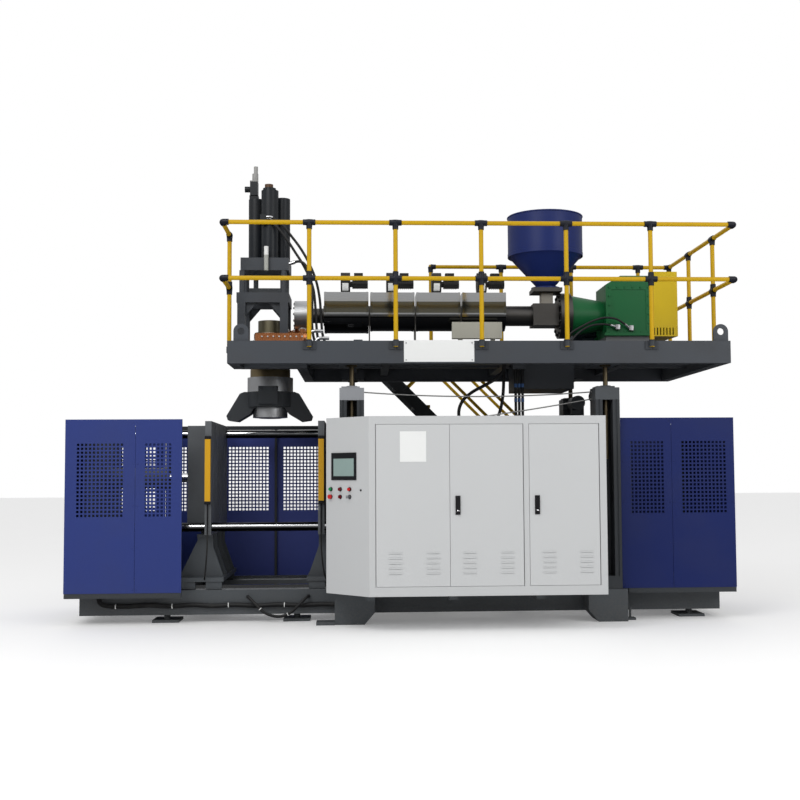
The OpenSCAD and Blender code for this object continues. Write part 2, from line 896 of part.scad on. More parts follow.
module screen_unit() {
  color("#15171a")
    on_panel(screen_u, screen_z) {
      difference() {
        translate([-screen_w/2, -screen_h/2, 0])
          cube([screen_w, screen_h, 8]);
        translate([-screen_w/2 + 26, -screen_h/2 + 34, 6])
          cube([screen_w - 52, screen_h - 84, 3]);
      }
      translate([-screen_w/2 + 14, -screen_h/2 + 14, -60])
        cube([screen_w - 28, screen_h - 28, 60]);
      // Bezel rings and bodies of the buttons below
      for (u = button_u, z = button_z)
        translate([u - screen_u, z - screen_z, 0])
          difference() {
            cylinder(d = 38, h = 6);
            translate([0, 0, -e])
              cylinder(d = stem_d + 2*run_gap, h = 8);
          }
      translate([440 - screen_u, button_z[0] - screen_z - 8, 0])
        cylinder(d = 18, h = 5);
    }
}

// Push button: a cap on a stem
module push_button(n, row, tint, cap_d = 29, cap_h = 9) {
  color(tint)
    on_panel(button_u[n], button_z[row]) {
      translate([0, 0, -40])
        cylinder(d = stem_d, h = 52);
      translate([0, 0, 12])
        cylinder(d = cap_d, h = cap_h);
    }
}

module start_button() {
  push_button(0, 0, "#1c8a4a");
}

module stop_button() {
  push_button(1, 0, "#7a1a22");
}

module reset_button() {
  push_button(2, 0, "#c22323");
}

module emergency_stop() {
  push_button(0, 1, "#d02020", 40, 16);
}

// Turning switches: a knob with a grip bar
module turn_knob(n, tint, bar_w, bar_h) {
  color(tint)
    on_panel(button_u[n], button_z[1]) {
      translate([0, 0, -40])
        cylinder(d = stem_d, h = 48);
      translate([0, 0, 7])
        cylinder(d = 29, h = 6);
      translate([-bar_w/2, -13, 13])
        cube([bar_w, 26, bar_h]);
    }
}

module mode_selector() {
  turn_knob(1, "#6e1620", 9, 14);
}

module key_switch() {
  turn_knob(2, "#9a9ea2", 4, 34);
}

// Deck

joist_h = 140;
riser_x = deck_x + 400;
riser_y = head_y - 380;
riser_step = 34;
floor_t = 8;

module deck_frame() {
  z0 = deck_under;
  z1 = deck_z;
  j0 = z1 - floor_t - joist_h;
  j1 = z1 - floor_t;
  color("#565b5f") {
    span([deck_x0, deck_y0, z0], [deck_x1, deck_y0 + deck_t, z1]);
    span([bay_x, deck_y1 - deck_t, z0], [deck_x1, deck_y1, z1]);
    span([deck_x1 - deck_t, deck_y0 + deck_t, z0], [deck_x1, deck_y1 - deck_t, z1]);
    span([bay_x, walk_y, z0], [bay_x + deck_t, deck_y1 - deck_t, z1]);
    span([deck_x0, deck_y0 + deck_t, z0], [deck_x0 + deck_t, walk_y, z1]);
    span([deck_x0 + deck_t, walk_y - deck_t, z0], [bay_x + deck_t, walk_y, z1]);
    // Joists under the floor
    for (x = [bay_x + 500, column_x(0) + 300, deck_x + 300, column_x(1) - 450, column_x(1) + 300])
      span([x, deck_y0 + deck_t, j0], [x + 80, deck_y1 - deck_t, j1]);
    for (y = [head_y - 230, head_y + 130])
      span([bay_x + deck_t, y, j0], [deck_x1 - deck_t, y + 100, j1]);
    // Arms that carry the head's portal
    for (y = [head_y - portal_d/2 - 10, head_y + portal_d/2 - 80])
      span([portal_x - portal_w/2 - 8, y, z1 - 150], [bay_x, y + 90, z1]);
    span([portal_x - portal_w/2 - 8, walk_y, z1 - 150], [portal_x - portal_w/2 + 100,
      head_y - portal_d/2 - 10, z1]);
    // Pads over the lift screws
    for (i = [0, 1], j = [0, 1])
      span([column_x(i) - 120, column_y(j) - 120, z0], [column_x(i) + 120, column_y(j) + 120, j1]);
    // Cable trough hung under the drive end
    span([deck_x + 430, head_y - 330, z0 - 190], [deck_x + 990, head_y + 370, j0]);
    // Manifold above the riser hoses
    span([riser_x - 30, riser_y - 45, z0], [riser_x + 2*riser_step + 30, riser_y + 45, j1]);
    // Lifting lugs with an eye
    for (x = [deck_x0 + 55, deck_x1 - 155])
      translate([x, deck_y0 + 30, z1])
        rotate([90, 0, 0])
          linear_extrude(24, center = true)
            difference() {
              union() {
                square([140, 90]);
                translate([70, 90])
                  circle(d = 140);
              }
              translate([70, 90])
                circle(d = 66);
            }
    // Floor plate
    difference() {
      span([deck_x0 + deck_t, deck_y0 + deck_t, j1], [deck_x1 - deck_t, deck_y1 - deck_t, z1]);
      span([deck_x0 + deck_t - e, walk_y - deck_t, j1 - e], [bay_x + deck_t, deck_y1, z1 + e]);
    }
  }
}

module name_plate() {
  color("#f2f3f2")
    difference() {
      translate([deck_x - 725, deck_y0 - 3, deck_under + 12])
        cube([655, 3, deck_h - 8]);
      for (x = [deck_x - 705, deck_x - 90], z = [deck_under + 30, deck_z - 16])
        bar_y(deck_y0 - 4, deck_y0 + e, x, z, 9);
    }
}

module lift_screws() {
  color("#6b5a3c")
    for (i = [0, 1], j = [0, 1])
      translate([column_x(i), column_y(j), 0])
        mirror([0, j, 0]) {
          bar_z(jack_z - 560, deck_under, 0, screw_dy, screw_d);
          bar_z(deck_under - 18, deck_under, 0, screw_dy, screw_d + 60);
        }
}

// Guard rail
rail_x0 = deck_x - 3*post_pitch;
rail_x1 = deck_x + 3*post_pitch;
rail_y1 = deck_y1 + 45;
rail_levels = [rail_mid, rail_h];
return_y = rail_y + 588;
back_x0 = deck_x - 330;
front_posts = [for (k = [-2 : 2]) deck_x + k*post_pitch];
side_posts = [rail_y + 658, rail_y + 1483, rail_y1];
back_posts = [back_x0, back_x0 + post_pitch, back_x0 + 2*post_pitch, back_x0 + 3*post_pitch - 30];
foot_drop = 60;

// Tubes between neighbouring stops, each ending just short of a post
module tubes_x(xs, y, z) {
  for (k = [0 : len(xs) - 2])
    bar_x(xs[k] + rail_d/2 + seat, xs[k + 1] - rail_d/2 - seat, y, z, rail_d);
}

module tubes_y(ys, x, z) {
  for (k = [0 : len(ys) - 2])
    bar_y(ys[k] + rail_d/2 + seat, ys[k + 1] - rail_d/2 - seat, x, z, rail_d);
}

seat = 0.3;

module guard_rail() {
  color("#d8a512") {
    for (h = rail_levels) {
      z = deck_z + h;
      tubes_x(concat([rail_x0], front_posts, [rail_x1]), rail_y, z);
      tubes_y([rail_y, return_y], rail_x0, z);
      tubes_y(concat([rail_y], side_posts), rail_x1, z);
      tubes_x(concat(back_posts, [rail_x1]), rail_y1, z);
      // Corner elbows
      for (q = [[rail_x0, rail_y], [rail_x1, rail_y]])
        translate([q[0], q[1], z])
          sphere(d = rail_d);
    }
    for (x = front_posts)
      bar_z(deck_z - foot_drop, deck_z + rail_h + rail_d/2, x, rail_y, rail_d);
    for (y = side_posts)
      bar_z(deck_z - foot_drop, deck_z + rail_h + rail_d/2, rail_x1, y, rail_d);
    for (x = back_posts)
      bar_z(deck_z - foot_drop, deck_z + rail_h + rail_d/2, x, rail_y1, rail_d);
    bar_z(deck_z - foot_drop, deck_z + rail_h + rail_d/2, rail_x0, return_y, rail_d);
  }
}

// A clamp fitting: a sleeve around a tube
module sleeve(p, dir, l) {
  translate(p)
    rotate(dir == "x" ? [0, 90, 0] : dir == "y" ? [90, 0, 0] : [0, 0, 0])
      difference() {
        cylinder(d = rail_d + 12, h = l, center = true);
        cylinder(d = rail_d, h = l + e, center = true);
      }
}

// A palm foot that holds a post to the face of a deck beam; the face lies to +Y
module palm(p, angle, reach) {
  translate([p[0], p[1], deck_z])
    rotate([0, 0, angle])
      difference() {
        union() {
          translate([0, 0, -55])
            cylinder(d = rail_d + 12, h = 60);
          span([-60, rail_d/2 - 4, -82], [60, reach, -8]);
        }
        translate([0, 0, -90])
          cylinder(d = rail_d, h = 100);
      }
}

module rail_fittings() {
  r = rail_d/2 + 6;
  long = 30;
  step = r + long/2;
  color("#1d2230") {
    for (h = rail_levels) {
      z = deck_z + h;
      for (x = front_posts, s = [-1, 1])
        sleeve([x + s*step, rail_y, z], "x", long);
      for (s = [-1, 1], y = side_posts)
        if (s < 0 || y < rail_y1)
          sleeve([rail_x1, y + s*step, z], "y", long);
      for (x = back_posts)
        sleeve([x + step, rail_y1, z], "x", long);
      for (q = [[rail_x0, 1], [rail_x1, -1]]) {
        sleeve([q[0] + q[1]*step, rail_y, z], "x", long);
        sleeve([q[0], rail_y + step, z], "y", long);
      }
      sleeve([rail_x0, return_y - step, z], "y", long);
    }
    for (h = [rail_mid - step - 6, rail_mid + step + 6, rail_h - step - 6]) {
      for (x = front_posts)
        sleeve([x, rail_y, deck_z + h], "z", long);
      for (y = side_posts)
        sleeve([rail_x1, y, deck_z + h], "z", long);
      for (x = back_posts)
        sleeve([x, rail_y1, deck_z + h], "z", long);
      sleeve([rail_x0, return_y, deck_z + h], "z", long);
    }
    for (x = front_posts)
      palm([x, rail_y], 0, deck_y0 - rail_y);
    for (y = [side_posts[0], side_posts[1]])
      palm([rail_x1, y], 90, rail_x1 - deck_x1);
    for (x = back_posts)
      palm([x, rail_y1], 180, rail_y1 - deck_y1);
    palm([rail_x0, return_y], -90, deck_x0 - rail_x0);
  }
}

// Stair along the back of the deck
stair_w = 592;
stair_y = deck_y1 + 88;
stair_x = deck_x - 850;
stair_drop = deck_z - 130;
stringer_h = 130;
tread_n = 10;
tread_d = 190;
stair_rail_h = 900;

// A bar in the plane of the stair, from its head along the slope
module on_slope(y) {
  translate([stair_x, y, deck_z])
    rotate([0, 45, 0])
      children();
}

module stair() {
  l = stair_drop*sqrt(2);
  post_at = [360, l/2, l - 420];
  color("#3c4144") {
    difference() {
      for (y = [stair_y, stair_y + stair_w - 12])
        on_slope(y)
          translate([-160, 0, -stringer_h])
            cube([l + 160, 12, stringer_h]);
      span([stair_x - 400, stair_y - e, deck_z], [stair_x + 400, stair_y + stair_w + e, deck_z + 400]);
      span([stair_x, stair_y - e, -200], [stair_x + stair_drop + 900, stair_y + stair_w + e, deck_z - stair_drop]);
    }
    for (k = [1 : tread_n])
      let (d = k*stair_drop/(tread_n + 1))
        span([stair_x + d - tread_d/2 - 40, stair_y + 5, deck_z - d - 40], [stair_x + d + tread_d/2 - 40,
          stair_y + stair_w - 5, deck_z - d - 10]);
    // Landing that bridges to the deck
    span([stair_x - 700, deck_y1, deck_z - 60], [stair_x - 40, stair_y + stair_w - 4, deck_z - 10]);
  }
  color("#d8a512")
    for (y = [stair_y + 6, stair_y + stair_w - 6])
      on_slope(y) {
        for (x = post_at)
          translate([x, 0, -stringer_h/2])
            cylinder(d = rail_d - 12, h = stringer_h/2 + stair_rail_h*cos(45));
        for (h = [stair_rail_h*0.62, stair_rail_h])
          translate([post_at[0] - 60, 0, h*cos(45)])
            rotate([0, 90, 0])
              cylinder(d = rail_d - 6, h = post_at[2] - post_at[0] + 120);
      }
}

// Extruder

bore_d = ext_screw_d + 2*run_gap;

module extruder_barrel() {
  color("#6d6a66")
    difference() {
      union() {
        bar_x(barrel_x0, barrel_x1, head_y, axis_z, barrel_d);
        // Melt flange and the elbow down to the head
        bar_x(barrel_x0 - 290, barrel_x0 - 130, head_y, axis_z, 300);
        bar_x(barrel_x0 - 130, barrel_x0, head_y, axis_z, 150);
        bar_z(deck_z + 60, axis_z, barrel_x0 - 210, head_y, 150);
        bar_x(deck_x - 2036 + acc_r, barrel_x0 - 130, head_y, deck_z + 130, 176);
        // Feed throat
        span([hopper_x - 150, head_y - 140, axis_z - 110], [hopper_x + 110, head_y + 140, axis_z + 112]);
        span([hopper_x - 55, head_y - 60, axis_z + 112], [hopper_x + 65, head_y + 60, axis_z + 235]);
        span([hopper_x - 147, head_y - 147, axis_z + 235], [hopper_x + 148, head_y + 147, axis_z + 275]);
        // Bolted flange in front of the bell housing
        bar_x(barrel_x1 - 10, barrel_x1 + 110, head_y, axis_z, 466);
        // Stands
        for (k = [1 : 3])
          let (x = cover_x0 + k*cover_pitch - (cover_pitch - cover_l)/2)
            span([x - 6, head_y - 110, deck_z], [x + 6, head_y + 110, axis_z]);
      }
      bar_x(barrel_x0 - 10, barrel_x1 + 110 + e, head_y, axis_z, bore_d);
      bar_z(axis_z, axis_z + 275 + e, hopper_x + 5, head_y, 100);
    }
}

// Screw: a plain core with a helical flight in the feed section
module extruder_screw() {
  root = ext_screw_d*0.66;
  feed_l = 380;
  feed_x0 = hopper_x + 70 - feed_l;
  lead = ext_screw_d*1.5;
  turns = feed_l/lead;
  color("#8d9094")
    translate([0, head_y, axis_z])
      rotate([0, 90, 0]) {
        translate([0, 0, barrel_x0 + 20])
          cylinder(d = ext_screw_d, h = feed_x0 - barrel_x0 - 20);
        translate([0, 0, feed_x0])
          linear_extrude(feed_l, twist = -360*turns, slices = 16*turns, segments = 12, convexity = 8)
            polygon(concat(
              [for (k = [1 : 9]) root/2*[cos(36*k), sin(36*k)]],
              [[root/2, -6], [ext_screw_d/2 - 1, -5], [ext_screw_d/2 - 1, 5], [root/2, 6]]));
        translate([0, 0, feed_x0 + feed_l])
          cylinder(d = ext_screw_d, h = barrel_x1 + 110 - feed_x0 - feed_l);
      }
}

cover_top = 217;

// A polished cover: round below, with a flat-topped box above
module heater_cover(x, r) {
  translate([x, head_y, axis_z])
    rotate([90, 0, 90])
      linear_extrude(cover_l)
        difference() {
          union() {
            circle(r = r);
            translate([-r, 0])
              square([2*r, cover_top]);
          }
          circle(d = barrel_d + 2*run_gap);
        }
}

module heater_covers() {
  color("#c8ccd0")
    for (k = [0 : 3])
      heater_cover(cover_x0 + k*cover_pitch, k == 0 ? cover_r + 22 : cover_r);
}

fan_d = 210;
fan_w = 95;

module blowers() {
  z0 = axis_z + cover_top;
  zc = z0 + 15 + fan_d/2;
  color("#1b1c1e")
    for (k = [0 : 3])
      let (x = cover_x0 + k*cover_pitch + 165) {
        bar_x(x, x + fan_w, head_y, zc, fan_d);
        span([x + 10, head_y - 60, z0], [x + fan_w - 10, head_y + 60, zc]);
        bar_x(x + fan_w, x + fan_w + 22, head_y - 40, zc - 20, 60);
        bar_x(x + fan_w + 22, x + fan_w + 180, head_y - 40, zc - 20, 88);
        span([x + fan_w + 40, head_y - 80, zc + 10], [x + fan_w + 130, head_y, zc + 90]);
      }
}

module junction_box() {
  x0 = deck_x - 215;
  y0 = head_y - 340;
  color("#b8b4a4") {
    span([x0, y0, deck_z + 105], [x0 + 485, y0 + 120, deck_z + 258]);
    span([x0 - 6, y0 - 4, deck_z + 100], [x0 + 491, y0, deck_z + 263]);
    for (x = [x0 + 60, x0 + 385])
      span([x, y0 + 30, deck_z], [x + 40, y0 + 90, deck_z + 105]);
  }
}

module hopper() {
  z0 = axis_z + 275;
  cone_h = 334;
  wall = 3;
  r = hopper_d/2;
  neck = 82;
  color("#1d2c66")
    translate([hopper_x, head_y, z0])
      rotate_extrude($fn = 96)
        polygon([[neck, 0], [147, 0], [147, 16], [neck + wall, 16], [r, 16 + cone_h], [r, 16 + cone_h + hopper_h],
          [r - wall, 16 + cone_h + hopper_h], [r - wall, 16 + cone_h], [neck, 16]]);
}

gear_x0 = barrel_x1 + 440;
gear_x1 = barrel_x1 + 898;
motor_y = head_y + 500;
motor_z = axis_z - 60;
input_z = axis_z + 120;

module gearbox() {
  color("#1f7a44") {
    // Bell housing
    difference() {
      translate([barrel_x1 + 110, head_y, axis_z])
        rotate([0, 90, 0])
          cylinder(d1 = 420, d2 = 300, h = gear_x0 - barrel_x1 - 110);
      bar_x(barrel_x1, gear_x0 + e, head_y, axis_z, ext_screw_d + 60);
    }
    difference() {
      union() {
        translate([0, head_y + 235, 0])
          rotate([90, 0, 0])
            linear_extrude(470)
              polygon([[gear_x0, deck_z + 140], [gear_x1, deck_z + 140], [gear_x1, axis_z + 380],
                [gear_x0 + 150, axis_z + 380], [gear_x0, axis_z + 290]]);
        for (y = [head_y - 260, head_y + 200])
          span([gear_x0 - 20, y, deck_z + 140], [gear_x1, y + 60, deck_z + 170]);
        // Mounting feet
        span([gear_x0, head_y - 220, deck_z], [gear_x1 - 20, head_y + 220, deck_z + 140]);
      }
      // Raised border around the side cover
      for (s = [-1, 1])
        span([gear_x0 + 60, head_y + s*235 - 6, deck_z + 200], [gear_x1 - 50, head_y + s*235 + 6, axis_z + 240]);
      bar_x(gear_x1 - 160, gear_x1 + e, head_y, input_z, 60 + 2*fit_gap);
    }
  }
}

module drive_motor() {
  x0 = gear_x1 - 620;
  color("#3b4a5a") {
    difference() {
      union() {
        bar_x(x0, gear_x1, motor_y, motor_z, 330);
        bar_x(x0 - 60, x0, motor_y, motor_z, 300);
        for (k = [0 : 23])
          translate([x0 + 40, motor_y, motor_z])
            rotate([k*15, 0, 0])
              translate([0, -4, 160])
                cube([480, 8, 26]);
        span([x0 + 180, motor_y + 150, motor_z + 60], [x0 + 380, motor_y + 250, motor_z + 220]);
        span([x0 + 40, motor_y - 150, deck_z], [x0 + 560, motor_y + 150, motor_z - 120]);
      }
      bar_x(gear_x1 - 200, gear_x1 + e, motor_y, motor_z, 55 + 2*fit_gap);
    }
  }
}

pulley_w = 130;
pulley_x = gear_x1 + 50;
big_pulley = 330;
small_pulley = 180;

// Grooved pulley on a shaft stub
module pulley(y, z, d, shaft, x0) {
  difference() {
    union() {
      bar_x(pulley_x, pulley_x + pulley_w, y, z, d);
      bar_x(x0, pulley_x, y, z, shaft);
    }
    for (k = [0 : 3])
      translate([pulley_x + 22 + k*28, y, z])
        rotate([0, 90, 0])
          rotate_extrude()
            translate([d/2 - 10, -6])
              square([20, 12]);
  }
}

module gearbox_pulley() {
  color("#202224")
    pulley(head_y, input_z, big_pulley, 60, gear_x1 - 150);
}

module motor_pulley() {
  color("#202224")
    pulley(motor_y, motor_z, small_pulley, 55, gear_x1 - 190);
}

module belt_guard() {
  x0 = gear_x1;
  x1 = x0 + 272;
  wall = 4;
  color("#e6bf17")
    difference() {
      hull() {
        span([x0, head_y - 235, axis_z - 235], [x1, head_y - 200, axis_z + 422]);
        span([x0, motor_y + 130, motor_z - 150], [x1, motor_y + 160, motor_z + 200]);
      }
      hull() {
        span([x0 - e, head_y - 235 + wall, axis_z - 235 + wall], [x1 - wall, head_y - 200, axis_z + 422 - wall]);
        span([x0 - e, motor_y + 130, motor_z - 150 + wall], [x1 - wall, motor_y + 160 - wall,
          motor_z + 200 - wall]);
      }
      for (k = [0 : 6])
        span([x0 + 25 + k*32, head_y - 236, axis_z - 222], [x0 + 37 + k*32, head_y - 220, axis_z - 148]);
    }
}

// Head

leg_w = 80;
leg_d = 70;

module head_frame() {
  x0 = portal_x - portal_w/2;
  x1 = portal_x + portal_w/2;
  y0 = head_y - portal_d/2;
  y1 = head_y + portal_d/2;
  zt = portal_z - 100;
  color("#4b5155") {
    for (x = [x0, x1 - leg_w], y = [y0, y1 - leg_d])
      span([x, y, deck_z], [x + leg_w, y + leg_d, zt]);
    for (y = [y0, y1 - leg_d]) {
      span([x0 - 8, y, zt], [x1 + 8, y + leg_d, portal_z]);
      // Corner gussets
      translate([0, y + leg_d - 10, 0])
        rotate([90, 0, 0])
          linear_extrude(20)
            for (s = [[x0 + leg_w, 1], [x1 - leg_w, -1]])
              polygon([[s[0], zt], [s[0] + s[1]*110, zt], [s[0], zt - 130]]);
    }
    for (x = [x0 - 8, x1 + 8 - leg_w])
      span([x, y0 + leg_d, zt], [x + leg_w, y1 - leg_d, portal_z]);
    // Columns and upper plate
    for (x = [x0 + 45, x1 - 45], y = [y0 + 40, y1 - 40])
      bar_z(portal_z, upper_z, x, y, 58);
    difference() {
      span([x0 + 30, y0 + 10, upper_z], [x1 + 5, y1 - 10, upper_z + upper_t]);
      for (s = [-1, 1])
        bar_z(upper_z - e, upper_z + upper_t + e, push_x(s), head_y + 20, 50 + 2*run_gap);
    }
  }
}

function push_x(s) = clamp_x + s*135 - 14;
push_top = upper_z + upper_t + 660;

module push_cylinders() {
  z0 = upper_z + upper_t;
  color("#2f363a") {
    for (s = [-1, 1])
      difference() {
        bar_z(z0, push_top - (s > 0 ? 10 : 20), push_x(s), head_y + 20, push_d);
        bar_z(z0 - e, push_top - 200, push_x(s), head_y + 20, 50 + 2*run_gap);
      }
    bar_z(z0, push_top + 45, clamp_x, head_y - 100, 172);
    bar_z(push_top + 45, push_top + 70, clamp_x - 5, head_y - 100, 130);
    // Plug on the middle cylinder
    bar_z(push_top + 70, push_top + 110, clamp_x - 10, head_y - 100, 84);
    // Port block and position transducer at the front
    span([-1410, -350, 3880], [-1350, -290, 3980]);
    bar_z(upper_z - 10, upper_z + 230, clamp_x - 22, head_y - portal_d/2 - 22, 44);
    span([clamp_x - 34, head_y - portal_d/2 - 22, upper_z + 40], [clamp_x - 10, head_y - portal_d/2 + 10,
      upper_z + 80]);
    // Servo valve on the left cylinder
    translate([push_x(-1) - 20, head_y + 20, push_top - 20]) {
      span([-45, -45, 0], [45, 45, 40]);
      span([-38, -60, 40], [38, 60, 190]);
      bar_x(-95, -38, 0, 110, 60);
      bar_z(190, 270, 10, 0, 62);
      bar_z(270, 345, 16, 0, 42);
    }
  }
}

module crosshead() {
  z0 = portal_z + 12;
  color("#70767a") {
    span([push_x(-1) - 60, head_y - 60, z0], [push_x(1) + 60, head_y + 80, z0 + 60]);
    for (s = [-1, 1])
      bar_z(z0 + 60, upper_z + upper_t + 300, push_x(s), head_y + 20, 50);
  }
}

core_d = 220;

module die_head() {
  z = deck_z;
  color("#aab0b5")
    difference() {
      union() {
        bar_z(z + 190, z + 310, clamp_x, head_y, 2*acc_r - 70);
        bar_z(z - 180, z + 190, clamp_x, head_y, 2*acc_r);
        bar_z(z - 265, z - 180, clamp_x, head_y, 400);
        bar_z(z - 410, z - 265, clamp_x, head_y, 2*die_r);
        bar_z(z - 560, z - 410, clamp_x, head_y, 2*lip_r);
        bar_z(z - 665, z - 560, clamp_x, head_y, 2*lip_r + 10);
      }
      bar_z(z - 666, z - 250, clamp_x, head_y, core_d);
      for (k = [0 : 11])
        translate([clamp_x, head_y, z - 266])
          rotate([0, 0, 30*k + 15])
            translate([180, 0, 0])
              cylinder(d = 18, h = 30);
    }
}

// Winged bracket around the die, with adjusting bolts
module die_bracket() {
  z = deck_z - 560;
  top = z + 149;
  color("#17191b")
    translate([clamp_x, head_y, 0]) {
      difference() {
        union() {
          translate([0, 0, z])
            cylinder(r = lip_r + 75, h = top - z);
          // Broad wings drooping to both sides
          for (s = [-1, 1])
            mirror([s < 0 ? 1 : 0, 0, 0])
              translate([0, 120, 0])
                rotate([90, 0, 0])
                  linear_extrude(240)
                    polygon([[100, top], [lip_r + 82, top], [lip_r + 126, z + 132], [lip_r + 258, z - 90], [lip_r + 244, z - 132],
                      [lip_r + 150, z - 145], [lip_r + 24, z - 70], [lip_r - 18, z - 12], [100, z - 12]]);
          // Clamp block in front, standing above the ring
          span([-95, -lip_r - 130, z + 20], [95, -150, top - 2]);
          span([-95, -lip_r - 130, z + 20], [95, -die_r - 4, z + 196]);
        }
        translate([0, 0, z - e])
          cylinder(r = lip_r, h = 200);
        translate([0, 0, z - 160])
          cylinder(r = lip_r + 8, h = 160);
      }
      for (x = [-72, 72])
        bar_y(-lip_r - 160, -lip_r - 130, x, z + 168, 26);
    }
}

module die_core() {
  color("#c7cbce")
    bar_z(deck_z - 672, deck_z - 300, clamp_x, head_y, core_d - 2*run_gap);
}

// Hydraulic lines of the head

head_route_1 = [[-1346.5, -330, 3905], [-1290, -330, 3896], [-1215, -330, 3825], [-1130, -330, 3710],
  [-1060, -330, 3600], [-990, -330, 3490], [-930, -330, 3370], [-880, -330, 3230], [-860, -330, 3050],
  [-850, -330, 2870], [-835, -330, 2740], [-800, -330, 2670], [-730, -330, 2635], [-600, -330, 2634],
  [-480, -330, 2634]];
head_route_2 = [[-1346.5, -335, 3955], [-1290, -334, 3948], [-1190, -318, 3875], [-1100, -297, 3770],
  [-1010, -285, 3650], [-930, -280, 3510], [-860, -280, 3340], [-820, -280, 3150], [-805, -280, 2950],
  [-790, -280, 2780], [-750, -280, 2680], [-690, -280, 2640], [-600, -280, 2634], [-480, -280, 2634]];
head_route_3 = [[-1119.5, -345, 3482], [-1085, -347, 3492], [-1030, -355, 3505], [-975, -368, 3485],
  [-930, -380, 3415], [-900, -388, 3305], [-890, -390, 3170], [-890, -390, 3000], [-890, -390, 2850],
  [-870, -390, 2720], [-820, -390, 2650], [-730, -380, 2634], [-600, -380, 2634], [-480, -380, 2634]];

module head_pipes() {
  color("#1a1b1d") {
    hose(head_route_1, 26);
    hose(head_route_2, 26);
    hose(head_route_3, 26);
    // Valve block on the deck
    span([-480, -420, deck_z], [-390, -240, deck_z + 95]);
  }
}

// Hoses between the deck and the base, with slack for the lift

module riser_hoses() {
  color("#151617")
    for (k = [0 : 2])
      bar_z(beam_top - 20, deck_under, riser_x + k*riser_step, riser_y, 28);
}

// Corrugated conduits along the front of the base

// Each point's second number is its distance in front of the beam
conduit_route = [[-2860, 50, 256], [-2860, 50, 215], [-2835, 40, 180], [-2760, 30, 162], [-2600, 23.5, 158],
  [-2400, 23.5, 166], [-2200, 23.5, 155], [-2000, 23.5, 165], [-1800, 23.5, 155], [-1600, 23.5, 162],
  [-1400, 23.5, 152], [-1200, 23.5, 160], [-1000, 23.5, 152], [-800, 23.5, 158], [-657, 23.5, 156]];
loop_route = [[-1480, 0, 235], [-1480, 30, 235], [-1455, 65, 222], [-1400, 85, 170], [-1320, 90, 95],
  [-1230, 90, 60], [-1150, 90, 60], [-1070, 90, 95], [-990, 85, 170], [-935, 65, 222], [-910, 30, 235],
  [-910, 0, 235]];

function before_beam(route) = [for (p = route) [p[0], base_y0 - p[1], p[2]]];

module base_conduits() {
  color("#141516") {
    hose(before_beam(conduit_route), 46, 10);
    hose(before_beam(loop_route), 30, 8);
  }
}

base_frame();
feet();
lift_columns();
jack_units();
lube_pipes();
clamp_guides();
clamp_ends();
guard_left();
guard_right();
guard_trim();
rear_frame();
cabinet_shell();
screen_unit();
base_conduits();
platen_left();
carriage_left();
piston_rod_left();
curtain_left();
platen_right();
carriage_right();
piston_rod_right();
curtain_right();
rear_door_left();
rear_door_right();
cabinet_door_1();
cabinet_door_2();
cabinet_door_3();
handle_2();
handle_3();
start_button();
stop_button();
reset_button();
emergency_stop();
mode_selector();
key_switch();
deck_frame();
name_plate();
lift_screws();
guard_rail();
rail_fittings();
stair();
extruder_barrel();
heater_covers();
blowers();
junction_box();
hopper();
gearbox();
drive_motor();
belt_guard();
head_frame();
push_cylinders();
die_head();
die_bracket();
head_pipes();
riser_hoses();
extruder_screw();
gearbox_pulley();
motor_pulley();
crosshead();
die_core();
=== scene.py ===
import math
import bpy
import numpy as np
from mathutils import Matrix, Vector


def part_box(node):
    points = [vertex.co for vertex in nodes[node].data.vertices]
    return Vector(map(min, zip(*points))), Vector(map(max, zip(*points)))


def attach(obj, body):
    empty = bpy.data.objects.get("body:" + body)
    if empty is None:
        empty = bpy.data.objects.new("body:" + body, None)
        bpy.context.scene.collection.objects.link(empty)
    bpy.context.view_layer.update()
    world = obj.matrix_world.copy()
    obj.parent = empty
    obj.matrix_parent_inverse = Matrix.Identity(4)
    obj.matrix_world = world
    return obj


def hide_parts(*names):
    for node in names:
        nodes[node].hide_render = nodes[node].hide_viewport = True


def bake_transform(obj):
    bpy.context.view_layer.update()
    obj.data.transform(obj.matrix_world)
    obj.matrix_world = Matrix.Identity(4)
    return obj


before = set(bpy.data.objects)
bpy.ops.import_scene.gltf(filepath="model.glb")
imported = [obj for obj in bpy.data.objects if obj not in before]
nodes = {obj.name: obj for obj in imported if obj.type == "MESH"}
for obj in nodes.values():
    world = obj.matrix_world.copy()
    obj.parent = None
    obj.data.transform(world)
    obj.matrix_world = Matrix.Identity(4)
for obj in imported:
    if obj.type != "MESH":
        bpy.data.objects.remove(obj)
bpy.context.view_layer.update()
scene = bpy.context.scene
print("frame loaded:", len(nodes), "nodes")

# camera: place, turn and lens of the photograph
shot = {"at": (-0.4237, -11.5504, 1.3915), "yaw": 2.897, "pitch": 3.522, "roll": -0.331,
        "lens": 50.81, "shiftX": -0.0206, "shiftY": 0.0045}
camData = bpy.data.cameras.new("photoCamera")
camData.lens, camData.sensor_width = shot["lens"], 36
camData.shift_x, camData.shift_y = shot["shiftX"], shot["shiftY"]
camData.clip_end = 200
camera = bpy.data.objects.new("photoCamera", camData)
camera.matrix_world = (Matrix.Translation(shot["at"])
                       @ Matrix.Rotation(math.radians(-shot["yaw"]), 4, "Z")
                       @ Matrix.Rotation(math.radians(90 + shot["pitch"]), 4, "X")
                       @ Matrix.Rotation(math.radians(shot["roll"]), 4, "Z"))
scene.collection.objects.link(camera)
scene.camera = camera
scene.view_settings.view_transform = "Standard"

# anchors of the machine, in metres
deckX, railY, deckZ = 0.715, -1.16, 2.62
clampX, headY, axisZ = -1.321, -0.13, 2.99
cabY = -1.71
upright = (0, 0, 1)
forward = (0, -1, 0)
coverX0, coverPitch = deckX - 1.49, 0.463


